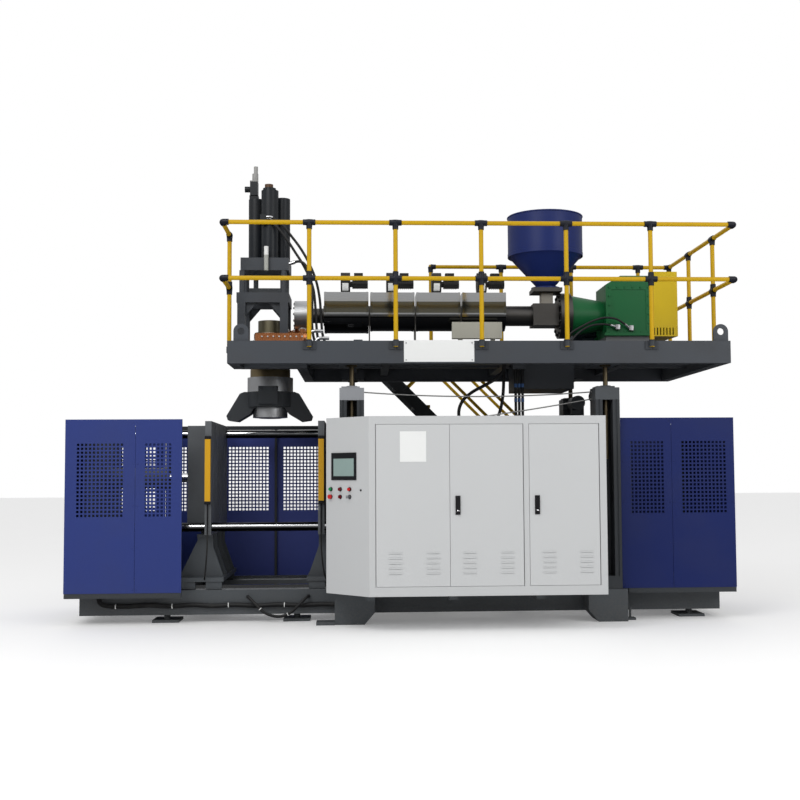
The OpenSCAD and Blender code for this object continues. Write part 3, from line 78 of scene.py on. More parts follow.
# shader groups
def newGroup(name, inputs, outputs):
    group = bpy.data.node_groups.new(name, "ShaderNodeTree")
    for label, kind, value in inputs:
        sock = group.interface.new_socket(name=label, in_out="INPUT", socket_type=kind)
        sock.default_value = value
    for label, kind in outputs:
        group.interface.new_socket(name=label, in_out="OUTPUT", socket_type=kind)
    return group, group.nodes.new("NodeGroupInput"), group.nodes.new("NodeGroupOutput")


def mathNode(tree, op, a, b=None, clamp=False):
    n = tree.nodes.new("ShaderNodeMath")
    n.operation, n.use_clamp = op, clamp
    for i, v in enumerate((a, b)):
        if v is None:
            continue
        if isinstance(v, (int, float)):
            n.inputs[i].default_value = v
        else:
            tree.links.new(v, n.inputs[i])
    return n.outputs[0]


def vecNode(tree, op, a, b):
    n = tree.nodes.new("ShaderNodeVectorMath")
    n.operation = op
    for i, v in enumerate((a, b)):
        if isinstance(v, (tuple, list)):
            n.inputs[i].default_value = v
        else:
            tree.links.new(v, n.inputs[i])
    return n.outputs["Value"] if op == "DOT_PRODUCT" else n.outputs[0]


def noiseNode(tree, coord, scale, detail=4.0, rough=0.55):
    n = tree.nodes.new("ShaderNodeTexNoise")
    n.inputs["Detail"].default_value = detail
    n.inputs["Roughness"].default_value = rough
    tree.links.new(coord, n.inputs["Vector"])
    if isinstance(scale, (int, float)):
        n.inputs["Scale"].default_value = scale
    else:
        tree.links.new(scale, n.inputs["Scale"])
    return n.outputs["Fac"]


def rampNode(tree, value, lo, hi):
    n = tree.nodes.new("ShaderNodeMapRange")
    n.interpolation_type = "SMOOTHSTEP"
    n.inputs["From Min"].default_value, n.inputs["From Max"].default_value = lo, hi
    tree.links.new(value, n.inputs["Value"])
    return n.outputs["Result"]


def grimeGroup():
    # large cloudy patches times fine specks, stronger towards the floor
    g, i, o = newGroup("shopGrime", [("Vector", "NodeSocketVector", (0, 0, 0)), ("Scale", "NodeSocketFloat", 1.5),
                                     ("Floor", "NodeSocketFloat", 0.5)],
                       [("Mask", "NodeSocketFloat"), ("Dust", "NodeSocketFloat")])
    big = rampNode(g, noiseNode(g, i.outputs["Vector"], i.outputs["Scale"], 5), 0.42, 0.75)
    fine = rampNode(g, noiseNode(g, i.outputs["Vector"], 55.0, 5), 0.25, 0.85)
    specks = mathNode(g, "ADD", mathNode(g, "MULTIPLY", fine, 0.6), 0.4)
    g.links.new(mathNode(g, "MULTIPLY", big, specks), o.inputs["Mask"])
    sep = g.nodes.new("ShaderNodeSeparateXYZ")
    g.links.new(i.outputs["Vector"], sep.inputs[0])
    low = rampNode(g, sep.outputs["Z"], 0.45, 0.0)
    g.links.new(mathNode(g, "MULTIPLY", mathNode(g, "MULTIPLY", low, i.outputs["Floor"]), fine), o.inputs["Dust"])
    return g


def grainGroup():
    # fine orange-peel height, a soft waviness below it
    g, i, o = newGroup("paintGrain", [("Vector", "NodeSocketVector", (0, 0, 0)), ("Size", "NodeSocketFloat", 220.0)],
                       [("Height", "NodeSocketFloat")])
    peel = noiseNode(g, i.outputs["Vector"], i.outputs["Size"], 2)
    wave = noiseNode(g, i.outputs["Vector"], 6.0, 1)
    g.links.new(mathNode(g, "ADD", mathNode(g, "MULTIPLY", peel, 0.35), wave), o.inputs["Height"])
    return g


def brushGroup():
    # noise drawn out along one axis, for ground and brushed metal
    g, i, o = newGroup("brushLines", [("Vector", "NodeSocketVector", (0, 0, 0)),
                                      ("Stretch", "NodeSocketVector", (1, 60, 60))], [("Lines", "NodeSocketFloat")])
    pulled = vecNode(g, "MULTIPLY", i.outputs["Vector"], i.outputs["Stretch"])
    g.links.new(noiseNode(g, pulled, 6.0, 3), o.inputs["Lines"])
    return g


def zoneGroup():
    # one inside the box from Low to High, nought outside it
    g, i, o = newGroup("zoneBox", [("Vector", "NodeSocketVector", (0, 0, 0)),
                                   ("Low", "NodeSocketVector", (0, 0, 0)), ("High", "NodeSocketVector", (1, 1, 1))],
                       [("Mask", "NodeSocketFloat")])
    above = g.nodes.new("ShaderNodeSeparateXYZ")
    below = g.nodes.new("ShaderNodeSeparateXYZ")
    g.links.new(vecNode(g, "SUBTRACT", i.outputs["Vector"], i.outputs["Low"]), above.inputs[0])
    g.links.new(vecNode(g, "SUBTRACT", i.outputs["High"], i.outputs["Vector"]), below.inputs[0])
    out = None
    for s in list(above.outputs) + list(below.outputs):
        step = mathNode(g, "GREATER_THAN", s, 0.0)
        out = step if out is None else mathNode(g, "MULTIPLY", out, step)
    g.links.new(out, o.inputs["Mask"])
    return g


def slopeGroup():
    # one where the point lies beyond a plane
    g, i, o = newGroup("beyondPlane", [("Vector", "NodeSocketVector", (0, 0, 0)),
                                       ("Normal", "NodeSocketVector", (0, 0, 1)), ("Offset", "NodeSocketFloat", 0.0)],
                       [("Mask", "NodeSocketFloat")])
    d = vecNode(g, "DOT_PRODUCT", i.outputs["Vector"], i.outputs["Normal"])
    g.links.new(mathNode(g, "GREATER_THAN", d, i.outputs["Offset"]), o.inputs["Mask"])
    return g


groups = {"grime": grimeGroup(), "grain": grainGroup(), "brush": brushGroup(),
          "zone": zoneGroup(), "slope": slopeGroup()}


def useGroup(tree, key, coord, **values):
    n = tree.nodes.new("ShaderNodeGroup")
    n.node_tree = groups[key]
    tree.links.new(coord, n.inputs["Vector"])
    for label, v in values.items():
        n.inputs[label].default_value = v
    return n


def mixColour(tree, fac, a, b):
    n = tree.nodes.new("ShaderNodeMix")
    n.data_type = "RGBA"
    for sock, v in ((n.inputs[0], fac), (n.inputs[6], a), (n.inputs[7], b)):
        if isinstance(v, (tuple, list)):
            sock.default_value = (*v[:3], 1)
        elif isinstance(v, (int, float)):
            sock.default_value = v
        else:
            tree.links.new(v, sock)
    return n.outputs[2]


def startMaterial(name):
    mat = bpy.data.materials.new(name)
    mat.use_nodes = True
    tree = mat.node_tree
    coord = tree.nodes.new("ShaderNodeTexCoord").outputs["Object"]
    return mat, tree, tree.nodes["Principled BSDF"], coord


def setBump(tree, shader, height, strength, distance):
    b = tree.nodes.new("ShaderNodeBump")
    b.inputs["Strength"].default_value, b.inputs["Distance"].default_value = strength, distance
    tree.links.new(height, b.inputs["Height"])
    tree.links.new(b.outputs[0], shader.inputs["Normal"])


def addZones(tree, coord, colour, zones):
    for z in zones:
        if "normal" in z:
            m = useGroup(tree, "slope", coord, Normal=z["normal"], Offset=z["offset"]).outputs["Mask"]
        else:
            m = useGroup(tree, "zone", coord, Low=z["low"], High=z["high"]).outputs["Mask"]
        colour = mixColour(tree, m, colour, z["colour"])
    return colour


def paint(name, colour, rough=0.42, grime=0.35, floor=0.0, grain=0.12, metal=0.0,
          dirt=(0.05, 0.045, 0.04), zones=()):
    # enamel: a base colour dulled by grime patches, floor dust, orange-peel bump
    mat, tree, shader, coord = startMaterial(name)
    g = useGroup(tree, "grime", coord, Scale=1.7, Floor=floor)
    base = addZones(tree, coord, colour, zones)
    dirty = mixColour(tree, mathNode(tree, "MULTIPLY", g.outputs["Mask"], grime), base, dirt)
    dusty = mixColour(tree, mathNode(tree, "MULTIPLY", g.outputs["Dust"], 0.45), dirty, (0.2, 0.19, 0.17))
    tree.links.new(dusty, shader.inputs["Base Color"])
    r = mathNode(tree, "ADD", mathNode(tree, "MULTIPLY", g.outputs["Mask"], 0.25), rough, True)
    tree.links.new(r, shader.inputs["Roughness"])
    shader.inputs["Metallic"].default_value = metal
    shader.inputs["Specular IOR Level"].default_value = 0.28
    setBump(tree, shader, useGroup(tree, "grain", coord).outputs["Height"], grain, 0.002)
    return mat


def metal(name, colour, rough=0.25, stretch=(1, 60, 60), lines=0.15, tint=0.25, zones=()):
    # bare metal: brushed lines in roughness and height, faint stains
    mat, tree, shader, coord = startMaterial(name)
    b = useGroup(tree, "brush", coord, Stretch=stretch).outputs["Lines"]
    g = useGroup(tree, "grime", coord, Scale=3.0)
    base = addZones(tree, coord, colour, zones)
    dark = tuple(c * 0.55 for c in colour)
    stained = mixColour(tree, mathNode(tree, "MULTIPLY", g.outputs["Mask"], tint), base, dark)
    tree.links.new(stained, shader.inputs["Base Color"])
    shader.inputs["Metallic"].default_value = 1.0
    r = mathNode(tree, "ADD", mathNode(tree, "MULTIPLY", b, lines), rough - lines * 0.5, True)
    tree.links.new(r, shader.inputs["Roughness"])
    setBump(tree, shader, b, 0.08, 0.001)
    return mat


def rubber(name, colour=(0.012, 0.012, 0.013), rough=0.6):
    # matt hose rubber with a dusty bloom
    mat, tree, shader, coord = startMaterial(name)
    g = useGroup(tree, "grime", coord, Scale=6.0, Floor=0.5)
    bloom = mixColour(tree, mathNode(tree, "MULTIPLY", g.outputs["Mask"], 0.4), colour, (0.07, 0.066, 0.06))
    tree.links.new(bloom, shader.inputs["Base Color"])
    r = mathNode(tree, "ADD", mathNode(tree, "MULTIPLY", g.outputs["Mask"], 0.2), rough, True)
    tree.links.new(r, shader.inputs["Roughness"])
    setBump(tree, shader, useGroup(tree, "grain", coord, Size=400.0).outputs["Height"], 0.1, 0.001)
    return mat


# finishes of the machine
yellow = (0.57, 0.345, 0.002)
white = (0.82, 0.83, 0.82)
black = (0.010, 0.010, 0.012)
slate = (0.078, 0.087, 0.096)
plateX = -0.285
doorPaint, doorDirt = (0.56, 0.57, 0.575), (0.42, 0.43, 0.44)
chrome, slope = (0.78, 0.79, 0.81), 0.70711
# tieShade: dark bands above and below each tie bar's axis with a bright line left between, painted reflection and
# painted highlight
tieZ, tieShade = (0.892, 1.811), ((-0.043, -0.012), (0.018, 0.043))
finish = {
    "slate": paint("slatePaint", slate, 0.45, 0.4, 0.5),
    "dark": paint("darkPaint", (0.042, 0.047, 0.053), 0.45, 0.3, 0.4),
    "deck": paint("deckPaint", (0.060, 0.067, 0.078), 0.4, 0.35),
    # the two guards share one blue paint: the left guard gets a lighter copy and the right guard a darker one, painted
    # light and painted shade
    "blueLeft": paint("bluePaintLeft", (0.027, 0.045, 0.20), 0.38, 0.2, 0.2, dirt=(0.02, 0.03, 0.09)),
    # rear doors: a lighter copy of the guard blue, painted light to make up for the deck's shadow on them
    "blueRear": paint("bluePaintRear", (0.048, 0.068, 0.28), 0.38, 0.2, 0.2, dirt=(0.03, 0.04, 0.12)),
    "blueRight": paint("bluePaintRight", (0.009, 0.019, 0.115), 0.38, 0.2, 0.2, dirt=(0.015, 0.02, 0.07)),
    "cabinet": paint("cabinetPaint", (0.535, 0.545, 0.55), 0.4, 0.12, 0.2, dirt=(0.44, 0.45, 0.46)),
    "door1": paint("doorPaintPlate", doorPaint, 0.4, 0.1, 0.2, dirt=doorDirt,
                   zones=[{"low": (plateX + 0.21, -2, 1.48), "high": (plateX + 0.445, cabY - 0.0005, 1.76),
                           "colour": white}]),
    "door23": paint("doorPaint", doorPaint, 0.4, 0.1, 0.2, dirt=doorDirt,
                    zones=[{"low": (0.40, -2, 1.01), "high": (0.46, cabY - 0.001, 1.21), "colour": black},
                           {"low": (1.09, -2, 1.01), "high": (1.16, cabY - 0.001, 1.21), "colour": black}]),
    "screen": paint("screenPlastic", (0.012, 0.013, 0.015), 0.3, 0.1),
    "hose": rubber("hoseRubber"),
    "bright": metal("brightSteel", chrome, 0.16, (1, 40, 40), 0.1, 0.12),
    # tie bars: painted reflection bands, dark above and below a painted bright highlight line
    "guide": metal("guideChrome", chrome, 0.16, (1, 40, 40), 0.1, 0.12,
                   zones=[{"low": (-4, -2, z + a), "high": (1, 2, z + b), "colour": (0.025, 0.026, 0.028)}
                          for z in tieZ for a, b in tieShade]),
    "pipe": metal("pipeSteel", (0.5, 0.5, 0.49), 0.4),
    "platen": paint("platenPaint", (0.14, 0.15, 0.16), 0.4, 0.4, metal=0.2),
    "curtain": paint("curtainYellow", (0.64, 0.34, 0.012), 0.35, 0.15,
                     zones=[{"low": (-3, -2, 0), "high": (0, 0, 1.109), "colour": black}]),
    "rail": paint("railYellow", yellow, 0.32, 0.2, dirt=(0.3, 0.16, 0.02)),
    "fitting": paint("fittingBlack", (0.012, 0.014, 0.022), 0.4, 0.2,
                     zones=[{"low": (-4, -4, 2), "high": (4, 4, 2.615), "colour": (0.045, 0.05, 0.058)}]),
    "jack": paint("jackPaint", slate, 0.45, 0.3,
                  zones=[{"low": (-0.62, -1.1, 2.07), "high": (-0.37, -0.76, 2.22), "colour": (0.30, 0.31, 0.33)}]),
    "handle": paint("handlePlastic", black, 0.45, 0.1),
    "green": paint("capGreen", (0.012, 0.26, 0.075), 0.3, 0.1),
    "darkRed": paint("capDarkRed", (0.16, 0.008, 0.014), 0.3, 0.1),
    "red": paint("capRed", (0.55, 0.014, 0.014), 0.3, 0.1),
    "satin": metal("switchSatin", (0.5, 0.5, 0.52), 0.35),
    "white": paint("plateWhite", white, 0.35, 0.06, dirt=(0.6, 0.6, 0.58)),
    "liftScrew": metal("liftScrewSteel", (0.20, 0.16, 0.10), 0.4, (60, 60, 1)),
    "stair": paint("stairPaint", (0.05, 0.055, 0.06), 0.5, 0.35, 0.3,
                   zones=[{"normal": (slope, 0, slope), "offset": (-0.135 + deckZ) * slope + 0.004, "colour": yellow}]),
    "barrel": metal("barrelSteel", (0.12, 0.115, 0.11), 0.42, (1, 30, 30), 0.2, 0.4,
                    zones=[{"low": (-1.11, -1, 2.79), "high": (-0.90, 1, 3.2), "colour": (0.62, 0.63, 0.64)},
                           {"low": (-1.3, -1, 2.6), "high": (-0.9, 1, 2.85), "colour": (0.42, 0.17, 0.07)},
                           {"low": (1.43, -0.2, 3.103), "high": (1.56, 0, 3.224), "colour": (0.36, 0.34, 0.30)}]),
    # polished covers: an olive band above the axis, a bright line at the axis and black below it, painted reflection
    # and painted highlight
    "cover": metal("polishedCover", (0.82, 0.83, 0.84), 0.11, (2, 30, 30), 0.05, 0.12,
                   zones=[{"low": (-1, -1, axisZ + 0.010), "high": (2, 1, axisZ + 0.125), "colour": (0.24, 0.23, 0.18)},
                          {"low": (-1, -1, 2.6), "high": (2, 1, axisZ - 0.028), "colour": (0.05, 0.05, 0.052)}]),
    "blower": paint("blowerBlack", (0.014, 0.014, 0.015), 0.42, 0.3),
    "beige": paint("boxBeige", (0.50, 0.49, 0.42), 0.42, 0.15),
    "hopper": paint("hopperBlue", (0.010, 0.022, 0.125), 0.36, 0.25, dirt=(0.03, 0.03, 0.06)),
    "gearbox": paint("gearboxGreen", (0.006, 0.125, 0.036), 0.36, 0.25,
                     zones=[{"low": (1.5, -1, 2.6), "high": (2.6, 1, 2.755), "colour": (0.16, 0.165, 0.17)}]),
    "motor": paint("motorGrey", (0.055, 0.075, 0.095), 0.42, 0.3),
    "guardYellow": paint("guardYellow", (0.66, 0.46, 0.002), 0.34, 0.12),
    "cylinder": paint("cylinderDark", (0.014, 0.017, 0.021), 0.32, 0.3,
                      zones=[{"low": (-1.40, -0.4, 4.275), "high": (-1.25, 0, 4.4), "colour": (0.10, 0.05, 0.025)},
                             {"low": (-1.7, -0.5, 4.36), "high": (-1.405, 0.2, 4.6), "colour": (0.34, 0.34, 0.33)},
                             {"low": (-1.38, -0.5, 3.40), "high": (-1.31, -0.375, 3.56), "colour": (0.42, 0.43, 0.40)},
                             {"low": (-1.38, -0.5, 3.56), "high": (-1.31, -0.375, 3.66), "colour": white}]),
    "die": metal("dieSteel", (0.82, 0.83, 0.85), 0.42, (60, 60, 1), 0.15, 0.3,
                 zones=[{"low": (-2, -1, 2.355), "high": (-1, 1, 2.44), "colour": (0.40, 0.31, 0.17)},
                        {"low": (-2, -1, 2.80), "high": (-1, 1, 3.0), "colour": (0.22, 0.20, 0.13)}]),
    "bandBlue": paint("bandBlue", (0.05, 0.12, 0.3), 0.35, 0.2),
    "copper": metal("heaterCopper", (0.55, 0.22, 0.09), 0.35, (1, 30, 30), 0.15, 0.4),
    "glass": paint("screenGlass", (0.27, 0.36, 0.34), 0.12, 0.35, grain=0.01, dirt=(0.12, 0.17, 0.17)),
    "pulley": metal("pulleyIron", (0.08, 0.08, 0.08), 0.5),
    "screw": metal("screwSteel", (0.45, 0.46, 0.47), 0.3),
}
use = {
    "jack": ["jack_units"],
    "slate": ["base_frame", "feet", "clamp_ends", "carriage_left", "carriage_right", "crosshead"],
    "dark": ["lift_columns", "guard_trim", "rear_frame", "die_bracket"], "deck": ["deck_frame", "head_frame"],
    "blueLeft": ["guard_left"], "blueRear": ["rear_door_left", "rear_door_right"], "blueRight": ["guard_right"],
    "cabinet": ["cabinet_shell"], "door1": ["cabinet_door_1"], "door23": ["cabinet_door_2", "cabinet_door_3"],
    "screen": ["screen_unit"], "hose": ["base_conduits", "head_pipes", "riser_hoses"],
    "guide": ["clamp_guides"], "bright": ["piston_rod_left", "piston_rod_right"], "pipe": ["lube_pipes"],
    "platen": ["platen_left", "platen_right"], "curtain": ["curtain_left", "curtain_right"], "rail": ["guard_rail"],
    "fitting": ["rail_fittings"], "handle": ["handle_2", "handle_3"], "green": ["start_button"],
    "darkRed": ["stop_button", "mode_selector"], "red": ["reset_button", "emergency_stop"], "satin": ["key_switch"],
    "white": ["name_plate"], "liftScrew": ["lift_screws"], "stair": ["stair"], "barrel": ["extruder_barrel"],
    "cover": ["heater_covers"], "blower": ["blowers"], "beige": ["junction_box"], "hopper": ["hopper"],
    "gearbox": ["gearbox"], "motor": ["drive_motor"], "guardYellow": ["belt_guard"], "cylinder": ["push_cylinders"],
    "die": ["die_head", "die_core"], "pulley": ["gearbox_pulley", "motor_pulley"], "screw": ["extruder_screw"],
}
for key, names in use.items():
    for n in names:
        slots = nodes[n].material_slots
        if not slots:
            nodes[n].data.materials.append(finish[key])
        for s in slots:
            s.material = finish[key]
print("finishes set:", len(finish))


# mesh helpers: every shape is a grid of points worked out as one array
def gridFaces(rows, cols, wrap):
    # quads of a rows by cols grid; with wrap the last column joins the first
    i, j = np.meshgrid(np.arange(rows - 1), np.arange(cols if wrap else cols - 1), indexing="ij")
    k = (j + 1) % cols
    return np.stack([i * cols + j, i * cols + k, (i + 1) * cols + k, (i + 1) * cols + j], -1).reshape(-1, 4)


def addPiece(name, verts, faces, key, body, slot, smooth=True, replaced=(), rides=True):
    mesh = bpy.data.meshes.new(name)
    mesh.from_pydata(np.asarray(verts, float).tolist(), [], [list(map(int, f)) for f in faces])
    mesh.materials.append(finish[key])
    mesh.shade_smooth() if smooth else mesh.shade_flat()
    obj = bpy.data.objects.new(name, mesh)
    scene.collection.objects.link(obj)
    if smooth:
        mesh.set_sharp_from_angle(angle=math.radians(40))
    if rides:
        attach(obj, body)
    if replaced:
        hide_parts(*replaced)
    return obj


def joinShapes(parts):
    # stacks several point and face arrays into one
    verts, faces, n = [], [], 0
    for v, f in parts:
        verts.append(v)
        faces += [[int(k) + n for k in q] for q in f]
        n += len(v)
    return np.concatenate(verts), faces


def tubeShape(path, radius, sides=12):
    # circle of the given radius carried along the path, square to its direction
    path = np.asarray(path, float)
    t = np.gradient(path, axis=0)
    t /= np.linalg.norm(t, axis=1)[:, None]
    ref = np.where(np.abs(t[:, 2:3]) > 0.9, [[0, 1, 0]], [[0, 0, 1]])
    u = np.cross(t, ref)
    u /= np.linalg.norm(u, axis=1)[:, None]
    for k in range(1, len(u)):  # keep neighbouring rings untwisted
        w = u[k - 1] - t[k] * (u[k - 1] @ t[k])
        u[k] = w / np.linalg.norm(w)
    v = np.cross(t, u)
    a = np.linspace(0, 2 * np.pi, sides, endpoint=False)
    r = np.broadcast_to(radius, len(path))[:, None, None]
    ring = path[:, None] + r * (np.cos(a)[None, :, None] * u[:, None] + np.sin(a)[None, :, None] * v[:, None])
    faces = [list(f[::-1]) for f in gridFaces(len(path), sides, True)]
    faces += [list(range(sides)), list(range((len(path) - 1) * sides, len(path) * sides))[::-1]]
    return ring.reshape(-1, 3), faces


def smoothPath(points, step):
    # Catmull-Rom curve through the points, resampled at an even step
    p = np.asarray(points, float)
    p = np.vstack([2 * p[0] - p[1], p, 2 * p[-1] - p[-2]])
    t = np.linspace(0, 1, 24, endpoint=False)[:, None]
    a, b, c, d = p[:-3, None], p[1:-2, None], p[2:-1, None], p[3:, None]
    q = 0.5 * (2 * b + (c - a) * t + (2 * a - 5 * b + 4 * c - d) * t**2 + (3 * b - a - 3 * c + d) * t**3)
    q = np.vstack([q.reshape(-1, 3), p[-2]])
    s = np.r_[0, np.cumsum(np.linalg.norm(np.diff(q, axis=0), axis=1))]
    n = max(int(s[-1] / step), 4)
    e = np.linspace(0, s[-1], n + 1)
    return np.stack([np.interp(e, s, q[:, k]) for k in range(3)], 1)


def crossAxis(w):
    # a unit vector square to w
    u = np.cross(w, [0, 0, 1.0] if abs(w[2]) < 0.9 else [0, 1.0, 0])
    return u / np.linalg.norm(u)


def spunShape(profile, centre, axis, sides=48):
    # profile of radius and height turned about an axis through the centre
    prof = np.asarray(profile, float)
    w = np.asarray(axis, float)
    u = crossAxis(w)
    v = np.cross(w, u)
    a = np.linspace(0, 2 * np.pi, sides, endpoint=False)
    ring = np.cos(a)[:, None] * u + np.sin(a)[:, None] * v
    pts = np.asarray(centre) + prof[:, 0, None, None] * ring[None] + prof[:, 1, None, None] * w
    return pts.reshape(-1, 3), gridFaces(len(prof), sides, True)


def setOut(centres, verts, faces):
    # one copy of a shape at each centre
    pts = (np.asarray(centres, float)[:, None] + verts[None]).reshape(-1, 3)
    starts = np.arange(len(centres)) * len(verts)
    return pts, (np.asarray(faces)[None] + starts[:, None, None]).reshape(-1, 4)


def domeHeads(centres, normal, radius, height, sides=8):
    # low dome screw heads: one small spun profile at each centre
    prof = np.array([[1.0, 0], [1.0, 0.45], [0.75, 0.85], [0.3, 1.0], [0.001, 1.0]]) * [radius, height]
    return setOut(centres, *spunShape(prof, (0, 0, 0), normal, sides))


def hexHeads(centres, normal, radius, height):
    # chamfered hexagon bolt heads
    prof = np.array([[1.0, 0], [1.0, 0.8], [0.82, 1.0], [0.001, 1.0]]) * [radius, height]
    return setOut(centres, *spunShape(prof, (0, 0, 0), normal, 6))


def circlePoints(centre, axis, radius, count):
    # evenly spaced points on a circle square to the axis
    w = np.asarray(axis, float)
    u = crossAxis(w)
    a = np.arange(count) * 2 * np.pi / count
    return np.asarray(centre) + radius * (np.cos(a)[:, None] * u + np.sin(a)[:, None] * np.cross(w, u))


def softBlock(low, high, edge):
    # rounded rectangle carried upwards, drawn in by the edge radius at both ends
    lo, hi = np.asarray(low, float), np.asarray(high, float)
    a = np.linspace(0, np.pi / 2, 5)
    corner = np.array([[1, 1], [-1, 1], [-1, -1], [1, -1]])
    half = (hi - lo)[:2] / 2 - edge
    arcs = [np.stack([np.cos(a + k * np.pi / 2), np.sin(a + k * np.pi / 2)], 1) for k in range(4)]
    mid = (lo + hi)[:2] / 2
    ringAt = lambda r: np.concatenate([mid + corner[k] * half + arcs[k] * r for k in range(4)])
    levels = [(edge * 0.3, lo[2]), (edge, lo[2] + edge * 0.7), (edge, hi[2] - edge * 0.7), (edge * 0.3, hi[2])]
    cols = 4 * len(a)
    pts = np.concatenate([np.c_[ringAt(r), np.full(cols, z)] for r, z in levels])
    faces = [list(f) for f in gridFaces(4, cols, True)]
    return pts, faces + [list(range(cols))[::-1], list(range(3 * cols, 4 * cols))]


def ribWall(line, radius, depth):
    # radius of a corrugated wall: it falls by the depth once in four steps of the line
    return radius - depth * (0.5 + 0.5 * np.cos(np.arange(len(line)) * np.pi / 2))


def addHose(name, route, radius, body, replaced=(), step=0.02, depth=0.0):
    # round hose on a smooth curve through the route; a depth makes its wall corrugated
    line = smoothPath(route, step)
    shape = tubeShape(line, ribWall(line, radius, depth), 14)
    obj = addPiece(name, *shape, "hose", body, "rubber_hose", replaced=replaced)
    return line


# hydraulic hoses of the head, on the same routes as the solid tubes
headHose = {"radius": 0.013, "ferrule": 0.0185,
            "routes": [
                [(-1346.5, -330, 3905), (-1290, -330, 3896), (-1215, -330, 3825), (-1130, -330, 3710),
                 (-1060, -330, 3600), (-990, -330, 3490), (-930, -330, 3370), (-880, -330, 3230), (-860, -330, 3050),
                 (-850, -330, 2870), (-835, -330, 2740), (-800, -330, 2670), (-730, -330, 2635),
                 (-600, -330, 2634), (-480, -330, 2634)],
                [(-1346.5, -335, 3955), (-1290, -334, 3948), (-1190, -318, 3875), (-1100, -297, 3770),
                 (-1010, -285, 3650), (-930, -280, 3510), (-860, -280, 3340), (-820, -280, 3150), (-805, -280, 2950),
                 (-790, -280, 2780), (-750, -280, 2680), (-690, -280, 2640), (-600, -280, 2634), (-480, -280, 2634)],
                [(-1119.5, -345, 3482), (-1085, -347, 3492), (-1030, -355, 3505), (-975, -368, 3485),
                 (-930, -380, 3415), (-900, -388, 3305), (-890, -390, 3170), (-890, -390, 3000), (-890, -390, 2850),
                 (-870, -390, 2720), (-820, -390, 2650), (-730, -380, 2634), (-600, -380, 2634), (-480, -380, 2634)]]}
ends = []
for k, route in enumerate(headHose["routes"]):
    line = addHose(f"headHose{k + 1}", np.array(route) / 1000, headHose["radius"], "deck", replaced=("head_pipes",))
    ends += [tubeShape(line[:4], headHose["ferrule"]), tubeShape(line[-4:], headHose["ferrule"])]
addPiece("hoseFerrules", *joinShapes(ends), "bright", "deck", "bright_steel")
block = softBlock((-0.48, -0.42, deckZ), (-0.39, -0.24, deckZ + 0.095), 0.006)
addPiece("valveBlock", *block, "slate", "deck", "slate_paint")

# two oil hoses in front of the gearbox, with a port block each
oilHose = {"radius": 0.0105, "ferrule": 0.0145,
           "routes": [[(1.60, -0.43, 2.621), (1.612, -0.43, 2.68), (1.655, -0.435, 2.745), (1.717, -0.44, 2.798),
                       (1.818, -0.44, 2.855), (1.92, -0.44, 2.903), (2.032, -0.44, 2.932), (2.14, -0.432, 2.922),
                       (2.225, -0.41, 2.88), (2.283, -0.386, 2.838)],
                      [(1.66, -0.47, 2.621), (1.672, -0.47, 2.672), (1.71, -0.465, 2.728), (1.76, -0.455, 2.778),
                       (1.83, -0.445, 2.825), (1.91, -0.44, 2.857), (2.01, -0.425, 2.868), (2.09, -0.405, 2.862),
                       (2.147, -0.386, 2.848)]]}
ends, ports = [], []
for k, route in enumerate(oilHose["routes"]):
    line = addHose(f"oilHose{k + 1}", route, oilHose["radius"], "deck")
    ends.append(tubeShape(line[-4:], oilHose["ferrule"], 16))
    x, y, z = line[-1]
    ports.append(softBlock((x - 0.001, y - 0.026, z - 0.03), (x + 0.045, -0.3652, z + 0.022), 0.005))
addPiece("oilFerrules", *joinShapes(ends), "bright", "deck", "bright_steel")
addPiece("oilPorts", *joinShapes(ports), "satin", "deck", "switch_metal")

# a slack hose that hangs in a loop from a joist of the deck
slackHose = {"radius": 0.016,
             "route": [(1.005, -0.565, 2.4715), (1.0, -0.565, 2.42), (0.965, -0.565, 2.355), (0.89, -0.565, 2.295),
                       (0.79, -0.562, 2.24), (0.68, -0.555, 2.18), (0.59, -0.545, 2.10), (0.55, -0.53, 2.00),
                       (0.565, -0.51, 1.89), (0.63, -0.49, 1.81), (0.72, -0.475, 1.78), (0.82, -0.46, 1.80),
                       (0.90, -0.45, 1.87), (0.96, -0.44, 1.98), (0.995, -0.43, 2.13), (1.008, -0.425, 2.30),
                       (1.01, -0.42, 2.4715)]}
addHose("slackHose", slackHose["route"], slackHose["radius"], "deck")

# corrugated conduits on the base: the radius rises and falls along the length
conduit = {"pitch": 0.014, "depth": 0.0022, "mainRadius": 0.0225, "loopRadius": 0.0148,
           "mainTie": 0.024, "loopTie": 0.0163,
           "main": [(-2860, -760, 256), (-2860, -760, 215), (-2835, -750, 180), (-2760, -740, 162),
                    (-2600, -733.5, 158), (-2400, -733.5, 166), (-2200, -733.5, 155), (-2000, -733.5, 165),
                    (-1800, -733.5, 155), (-1600, -733.5, 162), (-1400, -733.5, 152), (-1200, -733.5, 160),
                    (-1000, -733.5, 152), (-800, -733.5, 158), (-657, -733.5, 156)],
           "loop": [(-1480, -710, 235), (-1480, -740, 235), (-1455, -775, 222), (-1400, -795, 170), (-1320, -800, 95),
                    (-1230, -800, 60), (-1150, -800, 60), (-1070, -800, 95), (-990, -795, 170), (-935, -775, 222),
                    (-910, -740, 235), (-910, -710, 235)]}


def tiesOn(line, radius, every):
    # short rings round the line, the first and last well inside its ends
    return [tubeShape(line[k:k + 3], radius, 14) for k in range(60, len(line) - 20, every)]


step = conduit["pitch"] / 4
line = smoothPath(np.array(conduit["main"]) / 1000, step)
shape = tubeShape(line, ribWall(line, conduit["mainRadius"], conduit["depth"]), 14)
addPiece("baseConduit", *shape, "hose", "base", "rubber_hose", replaced=("base_conduits",))
ties = tiesOn(line, conduit["mainTie"], 150)
line = addHose("conduitLoop", np.array(conduit["loop"]) / 1000, conduit["loopRadius"], "base",
               replaced=("base_conduits",), step=step, depth=conduit["depth"])
ties += tiesOn(line, conduit["loopTie"], 80)
addPiece("conduitTies", *joinShapes(ties), "white", "base", "white_plate")
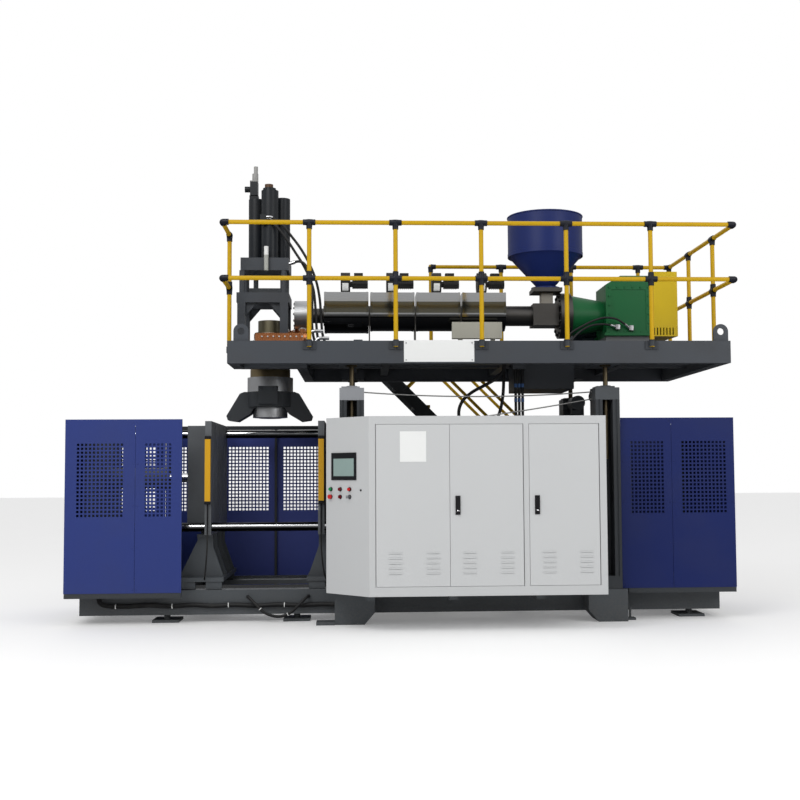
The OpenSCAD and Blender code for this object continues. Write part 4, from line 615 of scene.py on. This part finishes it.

# riser hoses between base and deck, with clamp bands; they are attached to no body and stay where they are made
riser = {"x": 1.115, "step": 0.034, "y": -0.51, "low": 0.28, "high": 2.41, "radius": 0.0138}
hoses, bands = [], []
for k in range(3):
    z = np.linspace(riser["low"], riser["high"], 60)
    x = np.full_like(z, riser["x"] + k * riser["step"])
    p = np.stack([x, np.full_like(z, riser["y"]), z], 1)
    hoses.append(tubeShape(p, riser["radius"]))
    bands += [tubeShape(p[j:j + 2], riser["radius"] + 0.002) for j in (2, 50, 54)]
for name, parts, key, slot, replaced in (("riserHoses", hoses, "hose", "rubber_hose", ("riser_hoses",)),
                                         ("riserBands", bands, "bandBlue", "bright_steel", ())):
    obj = addPiece(name, *joinShapes(parts), key, "base", slot, replaced=replaced, rides=False)
    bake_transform(obj)
print("hoses made")

# one-piece fittings over the rail crossings: short sleeves that swell towards the crossing
rail = {"sleeve": 0.0276, "swell": 0.0305, "reach": 0.057, "turn": 0.032, "levels": [3.198, 3.72],
        "x0": -1.685, "x1": 3.115, "y0": railY, "y1": 1.085, "returnY": -0.572,
        "front": [deckX + 0.8 * k for k in range(-2, 3)], "side": [-0.502, 0.323], "back": [0.385, 1.185, 1.985, 2.755]}


def hubShape(c, ways):
    # a short tube along each way; its radius falls from the swell to the sleeve
    c = np.array(c, float)
    t = np.linspace(0, 1, 6)
    r = rail["swell"] + (rail["sleeve"] - rail["swell"]) * np.minimum(1, t * 1.6) ** 2
    return [tubeShape(c + t[:, None] * rail["reach"] * np.array(w, float), r, 16) for w in ways]


def elbowShape(c, a, b):
    # one tube on a curve from way a round to way b
    c, a, b = (np.array(v, float) for v in (c, a, b))
    reach, turn = rail["reach"], rail["turn"]
    curve = smoothPath([c + a * reach, c + a * turn, c + (a + b) * 0.004, c + b * turn, c + b * reach], 0.008)
    return [tubeShape(curve, rail["swell"] - 0.001, 16)]


hubs = []
for z in rail["levels"]:
    post = [(0, 0, -1)] + ([upright] if z < rail["levels"][-1] else [])
    for x in rail["front"]:
        hubs += hubShape((x, rail["y0"], z), [(1, 0, 0), (-1, 0, 0)] + post)
    for y in rail["side"]:
        hubs += hubShape((rail["x1"], y, z), [(0, 1, 0), (0, -1, 0)] + post)
    for k, x in enumerate(rail["back"]):
        hubs += hubShape((x, rail["y1"], z), [(1, 0, 0)] + ([(-1, 0, 0)] if k else []) + post)
    hubs += hubShape((rail["x1"], rail["y1"], z), [(0, -1, 0), (-1, 0, 0)] + post)
    hubs += hubShape((rail["x0"], rail["returnY"], z), [(0, -1, 0)] + post)
    hubs += elbowShape((rail["x0"], rail["y0"], z), (1, 0, 0), (0, 1, 0))
    hubs += elbowShape((rail["x1"], rail["y0"], z), (-1, 0, 0), (0, 1, 0))
addPiece("railHubs", *joinShapes(hubs), "fitting", "deck", "fitting_black")
print("rail fittings made")

# bolts and screw heads
barrelEnd, gearX0, gearX1 = deckX + 0.905, deckX + 1.345, deckX + 1.803
bolts = [
    hexHeads(circlePoints((barrelEnd - 0.010, headY, axisZ), (1, 0, 0), 0.198, 16), (-1, 0, 0), 0.016, 0.014),
    hexHeads(circlePoints((-1.075, headY, axisZ), (1, 0, 0), 0.125, 12), (-1, 0, 0), 0.012, 0.010),
]
addPiece("flangeBolts", *joinShapes(bolts), "pulley", "deck", "pulley_iron", smooth=False)
gx = np.linspace(gearX0 + 0.035, gearX1 - 0.025, 6)
gz = np.linspace(deckZ + 0.18, axisZ + 0.262, 6)
gearY = headY - 0.235
rim = [(x, gearY, z) for x in gx for z in (gz[0], gz[-1])]
rim += [(x, gearY, z) for x in (gx[0], gx[-1]) for z in gz[1:-1]]
addPiece("gearboxBolts", *hexHeads(rim, forward, 0.011, 0.009), "gearbox", "deck", "gearbox_green", smooth=False)
dieRing = circlePoints((clampX, headY, deckZ - 0.18), upright, 0.182, 16)
addPiece("dieBolts", *hexHeads(dieRing, upright, 0.013, 0.012), "pulley", "deck", "pulley_iron", smooth=False)


def panelScrews(lo, hi, seam):
    # five screws up each side of the two panels of a guard front
    xs = [lo.x + 0.02, lo.x + seam - 0.02, lo.x + seam + 0.02, hi.x - 0.02]
    return [(x, lo.y, z) for x in xs for z in np.linspace(lo.z + 0.03, hi.z - 0.03, 5)]


for name, seam in (("left", 0.643), ("right", 0.487)):
    # the screw heads take the lighter or darker blue of their guard, painted light and painted shade
    heads = domeHeads(panelScrews(*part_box("guard_" + name), seam), forward, 0.006, 0.004)
    addPiece("guardScrews" + name.title(), *heads, "blue" + name.title(), "base", "blue_paint_" + name)
lo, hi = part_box("name_plate")
plateScrews = [(x, lo.y, z) for x in (lo.x + 0.02, hi.x - 0.02) for z in (lo.z + 0.018, hi.z - 0.026)]
addPiece("plateScrews", *domeHeads(plateScrews, forward, 0.007, 0.004, 12), "satin", "deck", "switch_metal")
print("fasteners made")

# hopper rim bead and the seam band where the cone meets the wall
hop = {"x": deckX + 0.773, "radius": 0.3815, "seamZ": axisZ + 0.275 + 0.350, "topZ": axisZ + 0.275 + 0.750}
a = np.linspace(0, 2 * np.pi, 13)
bead = np.stack([hop["radius"] - 0.001 + 0.008 * np.cos(a), 0.008 * np.sin(a) - 0.008], 1)
band = np.array([[0.0, -0.02], [0.003, -0.018], [0.003, 0.018], [0.0, 0.02]]) + [hop["radius"], 0]
beads = [spunShape(prof, (hop["x"], headY, z), upright, 96) for prof, z in ((bead, hop["topZ"]), (band, hop["seamZ"]))]
addPiece("hopperBeads", *joinShapes(beads), "hopper", "deck", "hopper_blue")

# blower labels: blank plates bent round the scroll, and finned motor rings
fan = {"radius": 0.105, "z": axisZ + 0.217 + 0.015 + 0.105, "labelW": 0.062, "low": 1.02, "high": 0.16, "fins": 7,
       "finPitch": 0.02, "finProfile": [[0.044, -0.003], [0.050, -0.003], [0.050, 0.003], [0.044, 0.003]]}
labels, fins = [], []
for k in range(4):
    x = coverX0 + k * coverPitch + 0.165
    t, w = np.meshgrid(np.linspace(-fan["low"], -fan["high"], 9), [0, 1], indexing="ij")
    r = fan["radius"] + 0.0015
    pts = np.stack([x + 0.016 + w * fan["labelW"], headY - r * np.cos(t), fan["z"] + r * np.sin(t)], -1).reshape(-1, 3)
    labels.append((pts, [list(f[::-1]) for f in gridFaces(9, 2, False)]))
    for j in range(fan["fins"]):
        c = (x + 0.125 + fan["finPitch"] * j, headY - 0.04, fan["z"] - 0.02)
        fins.append(spunShape(fan["finProfile"], c, (1, 0, 0), 32))
addPiece("blowerLabels", *joinShapes(labels), "white", "deck", "white_plate")
addPiece("blowerFins", *joinShapes(fins), "blower", "deck", "blower_black")

# heater cover rims
cover = {"radius": 0.156, "firstExtra": 0.022, "top": 0.217, "length": 0.445, "rimW": 0.018, "rimT": 0.003}
rims = []
for k in range(4):
    r = cover["radius"] + (cover["firstExtra"] if k == 0 else 0.0)
    x0 = coverX0 + k * coverPitch
    ang = np.linspace(np.pi, 2 * np.pi, 33)
    outline = np.stack([np.r_[-r, r * np.cos(ang), r], np.r_[cover["top"], r * np.sin(ang), cover["top"]]], 1)
    for x in (x0 + 0.004, x0 + cover["length"] - 0.022):
        path = np.c_[np.full(len(outline), x), headY + outline[:, 0], axisZ + outline[:, 1]]
        out = np.c_[np.zeros(len(outline)), outline / np.linalg.norm(outline, axis=1)[:, None]] * cover["rimT"]
        wide = np.array([cover["rimW"], 0, 0])
        pts = np.stack([path, path + out, path + out + wide, path + wide], 1).reshape(-1, 3)
        rims.append((pts, gridFaces(len(outline), 4, True)))
addPiece("coverRims", *joinShapes(rims), "cover", "deck", "polished_cover")
print("extruder details made")

# heater on the melt pipe: copper bands with white terminals
heater = {"x0": -1.16, "x1": -0.93, "z": deckZ + 0.13, "radius": 0.089, "pitch": 0.056}
body = {"radius": 0.158, "levels": (2.655, 2.705, 2.755), "pegRadius": 0.162, "pegZ": 2.728, "pegs": 9}
bandProf = [[0.0, 0.0], [0.005, 0.002], [0.005, 0.046], [0.0, 0.048]]
bandX = np.arange(heater["x0"], heater["x1"] - 0.04, heater["pitch"])
prof = [[heater["radius"] + r, h] for r, h in bandProf]
copper = [spunShape(prof, (x, headY, heater["z"]), (1, 0, 0)) for x in bandX]
addPiece("heaterBands", *joinShapes(copper), "copper", "deck", "barrel_steel")
prof = [[body["radius"] + r * 1.4, h * 0.92] for r, h in bandProf]
bodyBands = [spunShape(prof, (clampX, headY, z), upright, 64) for z in body["levels"]]
addPiece("bodyBands", *joinShapes(bodyBands), "copper", "deck", "die_steel")
turns = np.arange(body["pegs"]) * 0.3 + math.radians(200)
bodyPegs = []
for t in turns:
    way = np.array([math.cos(t), math.sin(t), 0])
    at = np.array([clampX, headY, body["pegZ"]]) + body["pegRadius"] * way
    bodyPegs.append(domeHeads([at], way, 0.009, 0.02, 12))
addPiece("bodyTerminals", *joinShapes(bodyPegs), "white", "deck", "white_plate")

# ribbed cover of the heater leads along the edge of the walkway, with terminal caps
lead = {"x0": -1.43, "x1": -0.97, "y0": -0.585, "y1": -0.548, "z": deckZ + 0.0002, "height": 0.14, "pitch": 0.0185}
ribX = np.arange(lead["x0"], lead["x1"], lead["pitch"])
topZ = lead["z"] + lead["height"]
ribs = [softBlock((x, lead["y0"], lead["z"]), (x + 0.013, lead["y1"], topZ), 0.003) for x in ribX]
ribs.append(softBlock((lead["x0"] - 0.004, lead["y0"] + 0.006, lead["z"]),
                      (lead["x1"] + 0.004, lead["y1"] - 0.004, topZ - 0.01), 0.004))
addPiece("leadCover", *joinShapes(ribs), "copper", "deck", "die_steel")
caps = [(x + 0.0065, lead["y0"], lead["z"] + 0.104) for x in ribX[3::3]]
addPiece("leadCaps", *domeHeads(caps, forward, 0.0085, 0.012, 12), "white", "deck", "white_plate")
pegs = [(x + 0.024, headY - 0.055, heater["z"] + 0.076) for x in bandX]
addPiece("heaterTerminals", *domeHeads(pegs, (0, -0.588, 0.809), 0.009, 0.022, 12), "white", "deck", "white_plate")

# chrome pipe bends at the foot of the head hoses
bend = {"radius": 0.017,
        "routes": [[(-0.93, -0.47, 2.62), (-0.93, -0.47, 2.70), (-0.915, -0.47, 2.76), (-0.875, -0.47, 2.79),
                    (-0.78, -0.47, 2.79)],
                   [(-0.86, -0.47, 2.62), (-0.86, -0.47, 2.66), (-0.845, -0.47, 2.70), (-0.81, -0.47, 2.72),
                    (-0.72, -0.47, 2.72)]]}
bends = [tubeShape(smoothPath(r, 0.012), bend["radius"], 16) for r in bend["routes"]]
addPiece("pipeBends", *joinShapes(bends), "bright", "deck", "bright_steel")

# screen glass, set in the bezel on the slanted panel: a sheet that bulges a little in the middle
screen = {"foot": (-0.724, -1.329, 0), "along": 0.229, "halfW": 0.129, "z": 1.446, "halfH": 0.078,
          "out": 0.0063, "bulge": 0.0006, "cols": 13, "rows": 9}
half = 0.70710678
u, v = np.meshgrid(np.linspace(-1, 1, screen["cols"]), np.linspace(-1, 1, screen["rows"]), indexing="ij")
along = (screen["along"] + screen["halfW"] * u)[..., None] * np.array([half, -half, 0])
out = (screen["out"] + screen["bulge"] * (1 - u**2) * (1 - v**2))[..., None] * np.array([-half, -half, 0])
rise = (screen["z"] + screen["halfH"] * v)[..., None] * np.array([0, 0, 1])
glass = np.array(screen["foot"]) + along + out + rise
glassFaces = [list(f[::-1]) for f in gridFaces(screen["cols"], screen["rows"], False)]
addPiece("screenGlass", glass.reshape(-1, 3), glassFaces, "glass", "base", "screen_plastic")

# dark end caps on the light curtains, and the cable of each, which runs on from the solid lead below it
# to the front of the carriage; the route is given from the clamp's middle
curtain = {"capZ": (1.108, 1.722), "capH": 0.03, "cable": 0.007,
           "route": [(0.533, -0.804, 0.84), (0.533, -0.804, 0.76), (0.536, -0.803, 0.67), (0.543, -0.795, 0.58),
                     (0.553, -0.775, 0.495), (0.564, -0.738, 0.43), (0.573, -0.6905, 0.397)]}
for name in ("left", "right"):
    lo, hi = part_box("curtain_" + name)
    caps = [softBlock((lo.x - 0.002, lo.y - 0.003, z), (hi.x + 0.002, lo.y + 0.038, z + curtain["capH"]), 0.004)
            for z in curtain["capZ"]]
    addPiece("curtainCaps" + name.title(), *joinShapes(caps), "handle", name + "_platen", "handle_black")
for name, turn in (("left", -1), ("right", 1)):
    route = [(clampX + turn * x, y, z) for x, y, z in curtain["route"]]
    addHose("curtainCable" + name.title(), route, curtain["cable"], name + "_platen")

# lock barrels at the lower end of the swing handles
lock = {"places": ((2, 0.431), (3, 1.128)), "z": 1.057,
        "profile": [[0.011, 0.0], [0.011, 0.004], [0.008, 0.006], [0.001, 0.006]]}
for k, x in lock["places"]:
    barrel = spunShape(lock["profile"], (x, cabY - 0.022, lock["z"]), forward, 24)
    addPiece(f"handleLock{k}", *barrel, "bright", f"lever_{k}", "bright_steel")
print("small details made")

# studio
studio = {"floor": 60.0, "floorGlow": 0.16, "sky": 0.62, "key": 420.0, "fill": 150.0,
          # height in the sky and brightness there
          "bands": [(0.0, 0.03), (0.47, 0.05), (0.5, 0.16), (0.55, 0.30), (0.62, 0.9), (0.8, 1.25)]}
fl = studio["floor"]
floorMesh = bpy.data.meshes.new("studioFloor")
floorMesh.from_pydata([(-fl, -fl, 0), (fl, -fl, 0), (fl, fl, 0), (-fl, fl, 0)], [], [(0, 1, 2, 3)])
floorObj = bpy.data.objects.new("studioFloor", floorMesh)
scene.collection.objects.link(floorObj)
floorMat, floorTree, floorShader, floorCoord = startMaterial("paleFloor")
floorColour = mixColour(floorTree, noiseNode(floorTree, floorCoord, 0.6), (0.90, 0.90, 0.90), (0.94, 0.94, 0.94))
floorTree.links.new(floorColour, floorShader.inputs["Base Color"])
floorShader.inputs["Roughness"].default_value = 0.7
floorShader.inputs["Emission Color"].default_value = (1, 1, 1, 1)
floorShader.inputs["Emission Strength"].default_value = studio["floorGlow"]
floorMesh.materials.append(floorMat)
floorObj.visible_glossy = False  # bright metal mirrors a dark room below, as under shop light
world = bpy.data.worlds.new("studioSky")
world.use_nodes = True
sky = world.node_tree
ramp = sky.nodes.new("ShaderNodeValToRGB")
for k, (pos, v) in enumerate(studio["bands"]):
    e = ramp.color_ramp.elements[k] if k < 2 else ramp.color_ramp.elements.new(pos)
    e.position, e.color = pos, (v, v, v, 1)
up = sky.nodes.new("ShaderNodeSeparateXYZ")
sky.links.new(sky.nodes.new("ShaderNodeTexCoord").outputs["Generated"], up.inputs[0])
sky.links.new(mathNode(sky, "MULTIPLY", mathNode(sky, "ADD", up.outputs["Z"], 1.0), 0.5), ramp.inputs[0])
glow = sky.nodes["Background"]
sky.links.new(ramp.outputs[0], glow.inputs[0])
glow.inputs[1].default_value = studio["sky"]
plain = sky.nodes.new("ShaderNodeBackground")  # the white backdrop that the camera sees
plain.inputs[0].default_value = (1, 1, 1, 1)
both = sky.nodes.new("ShaderNodeMixShader")
sky.links.new(sky.nodes.new("ShaderNodeLightPath").outputs["Is Camera Ray"], both.inputs[0])
sky.links.new(glow.outputs[0], both.inputs[1])
sky.links.new(plain.outputs[0], both.inputs[2])
sky.links.new(both.outputs[0], sky.nodes["World Output"].inputs[0])
scene.world = world


def softLight(name, at, aim, size, power):
    # rectangular lamp turned towards its aim
    data = bpy.data.lights.new(name, "AREA")
    data.shape, data.size, data.size_y, data.energy = "RECTANGLE", size[0], size[1], power
    lamp = bpy.data.objects.new(name, data)
    turn = (Vector(aim) - Vector(at)).to_track_quat("-Z", "Y")
    lamp.matrix_world = Matrix.Translation(at) @ turn.to_matrix().to_4x4()
    scene.collection.objects.link(lamp)


softLight("keyLight", (-5, -9, 9), (0, 0, 1.8), (6, 4), studio["key"])
softLight("fillLight", (7, -8, 5), (0.5, 0, 1.8), (5, 4), studio["fill"])
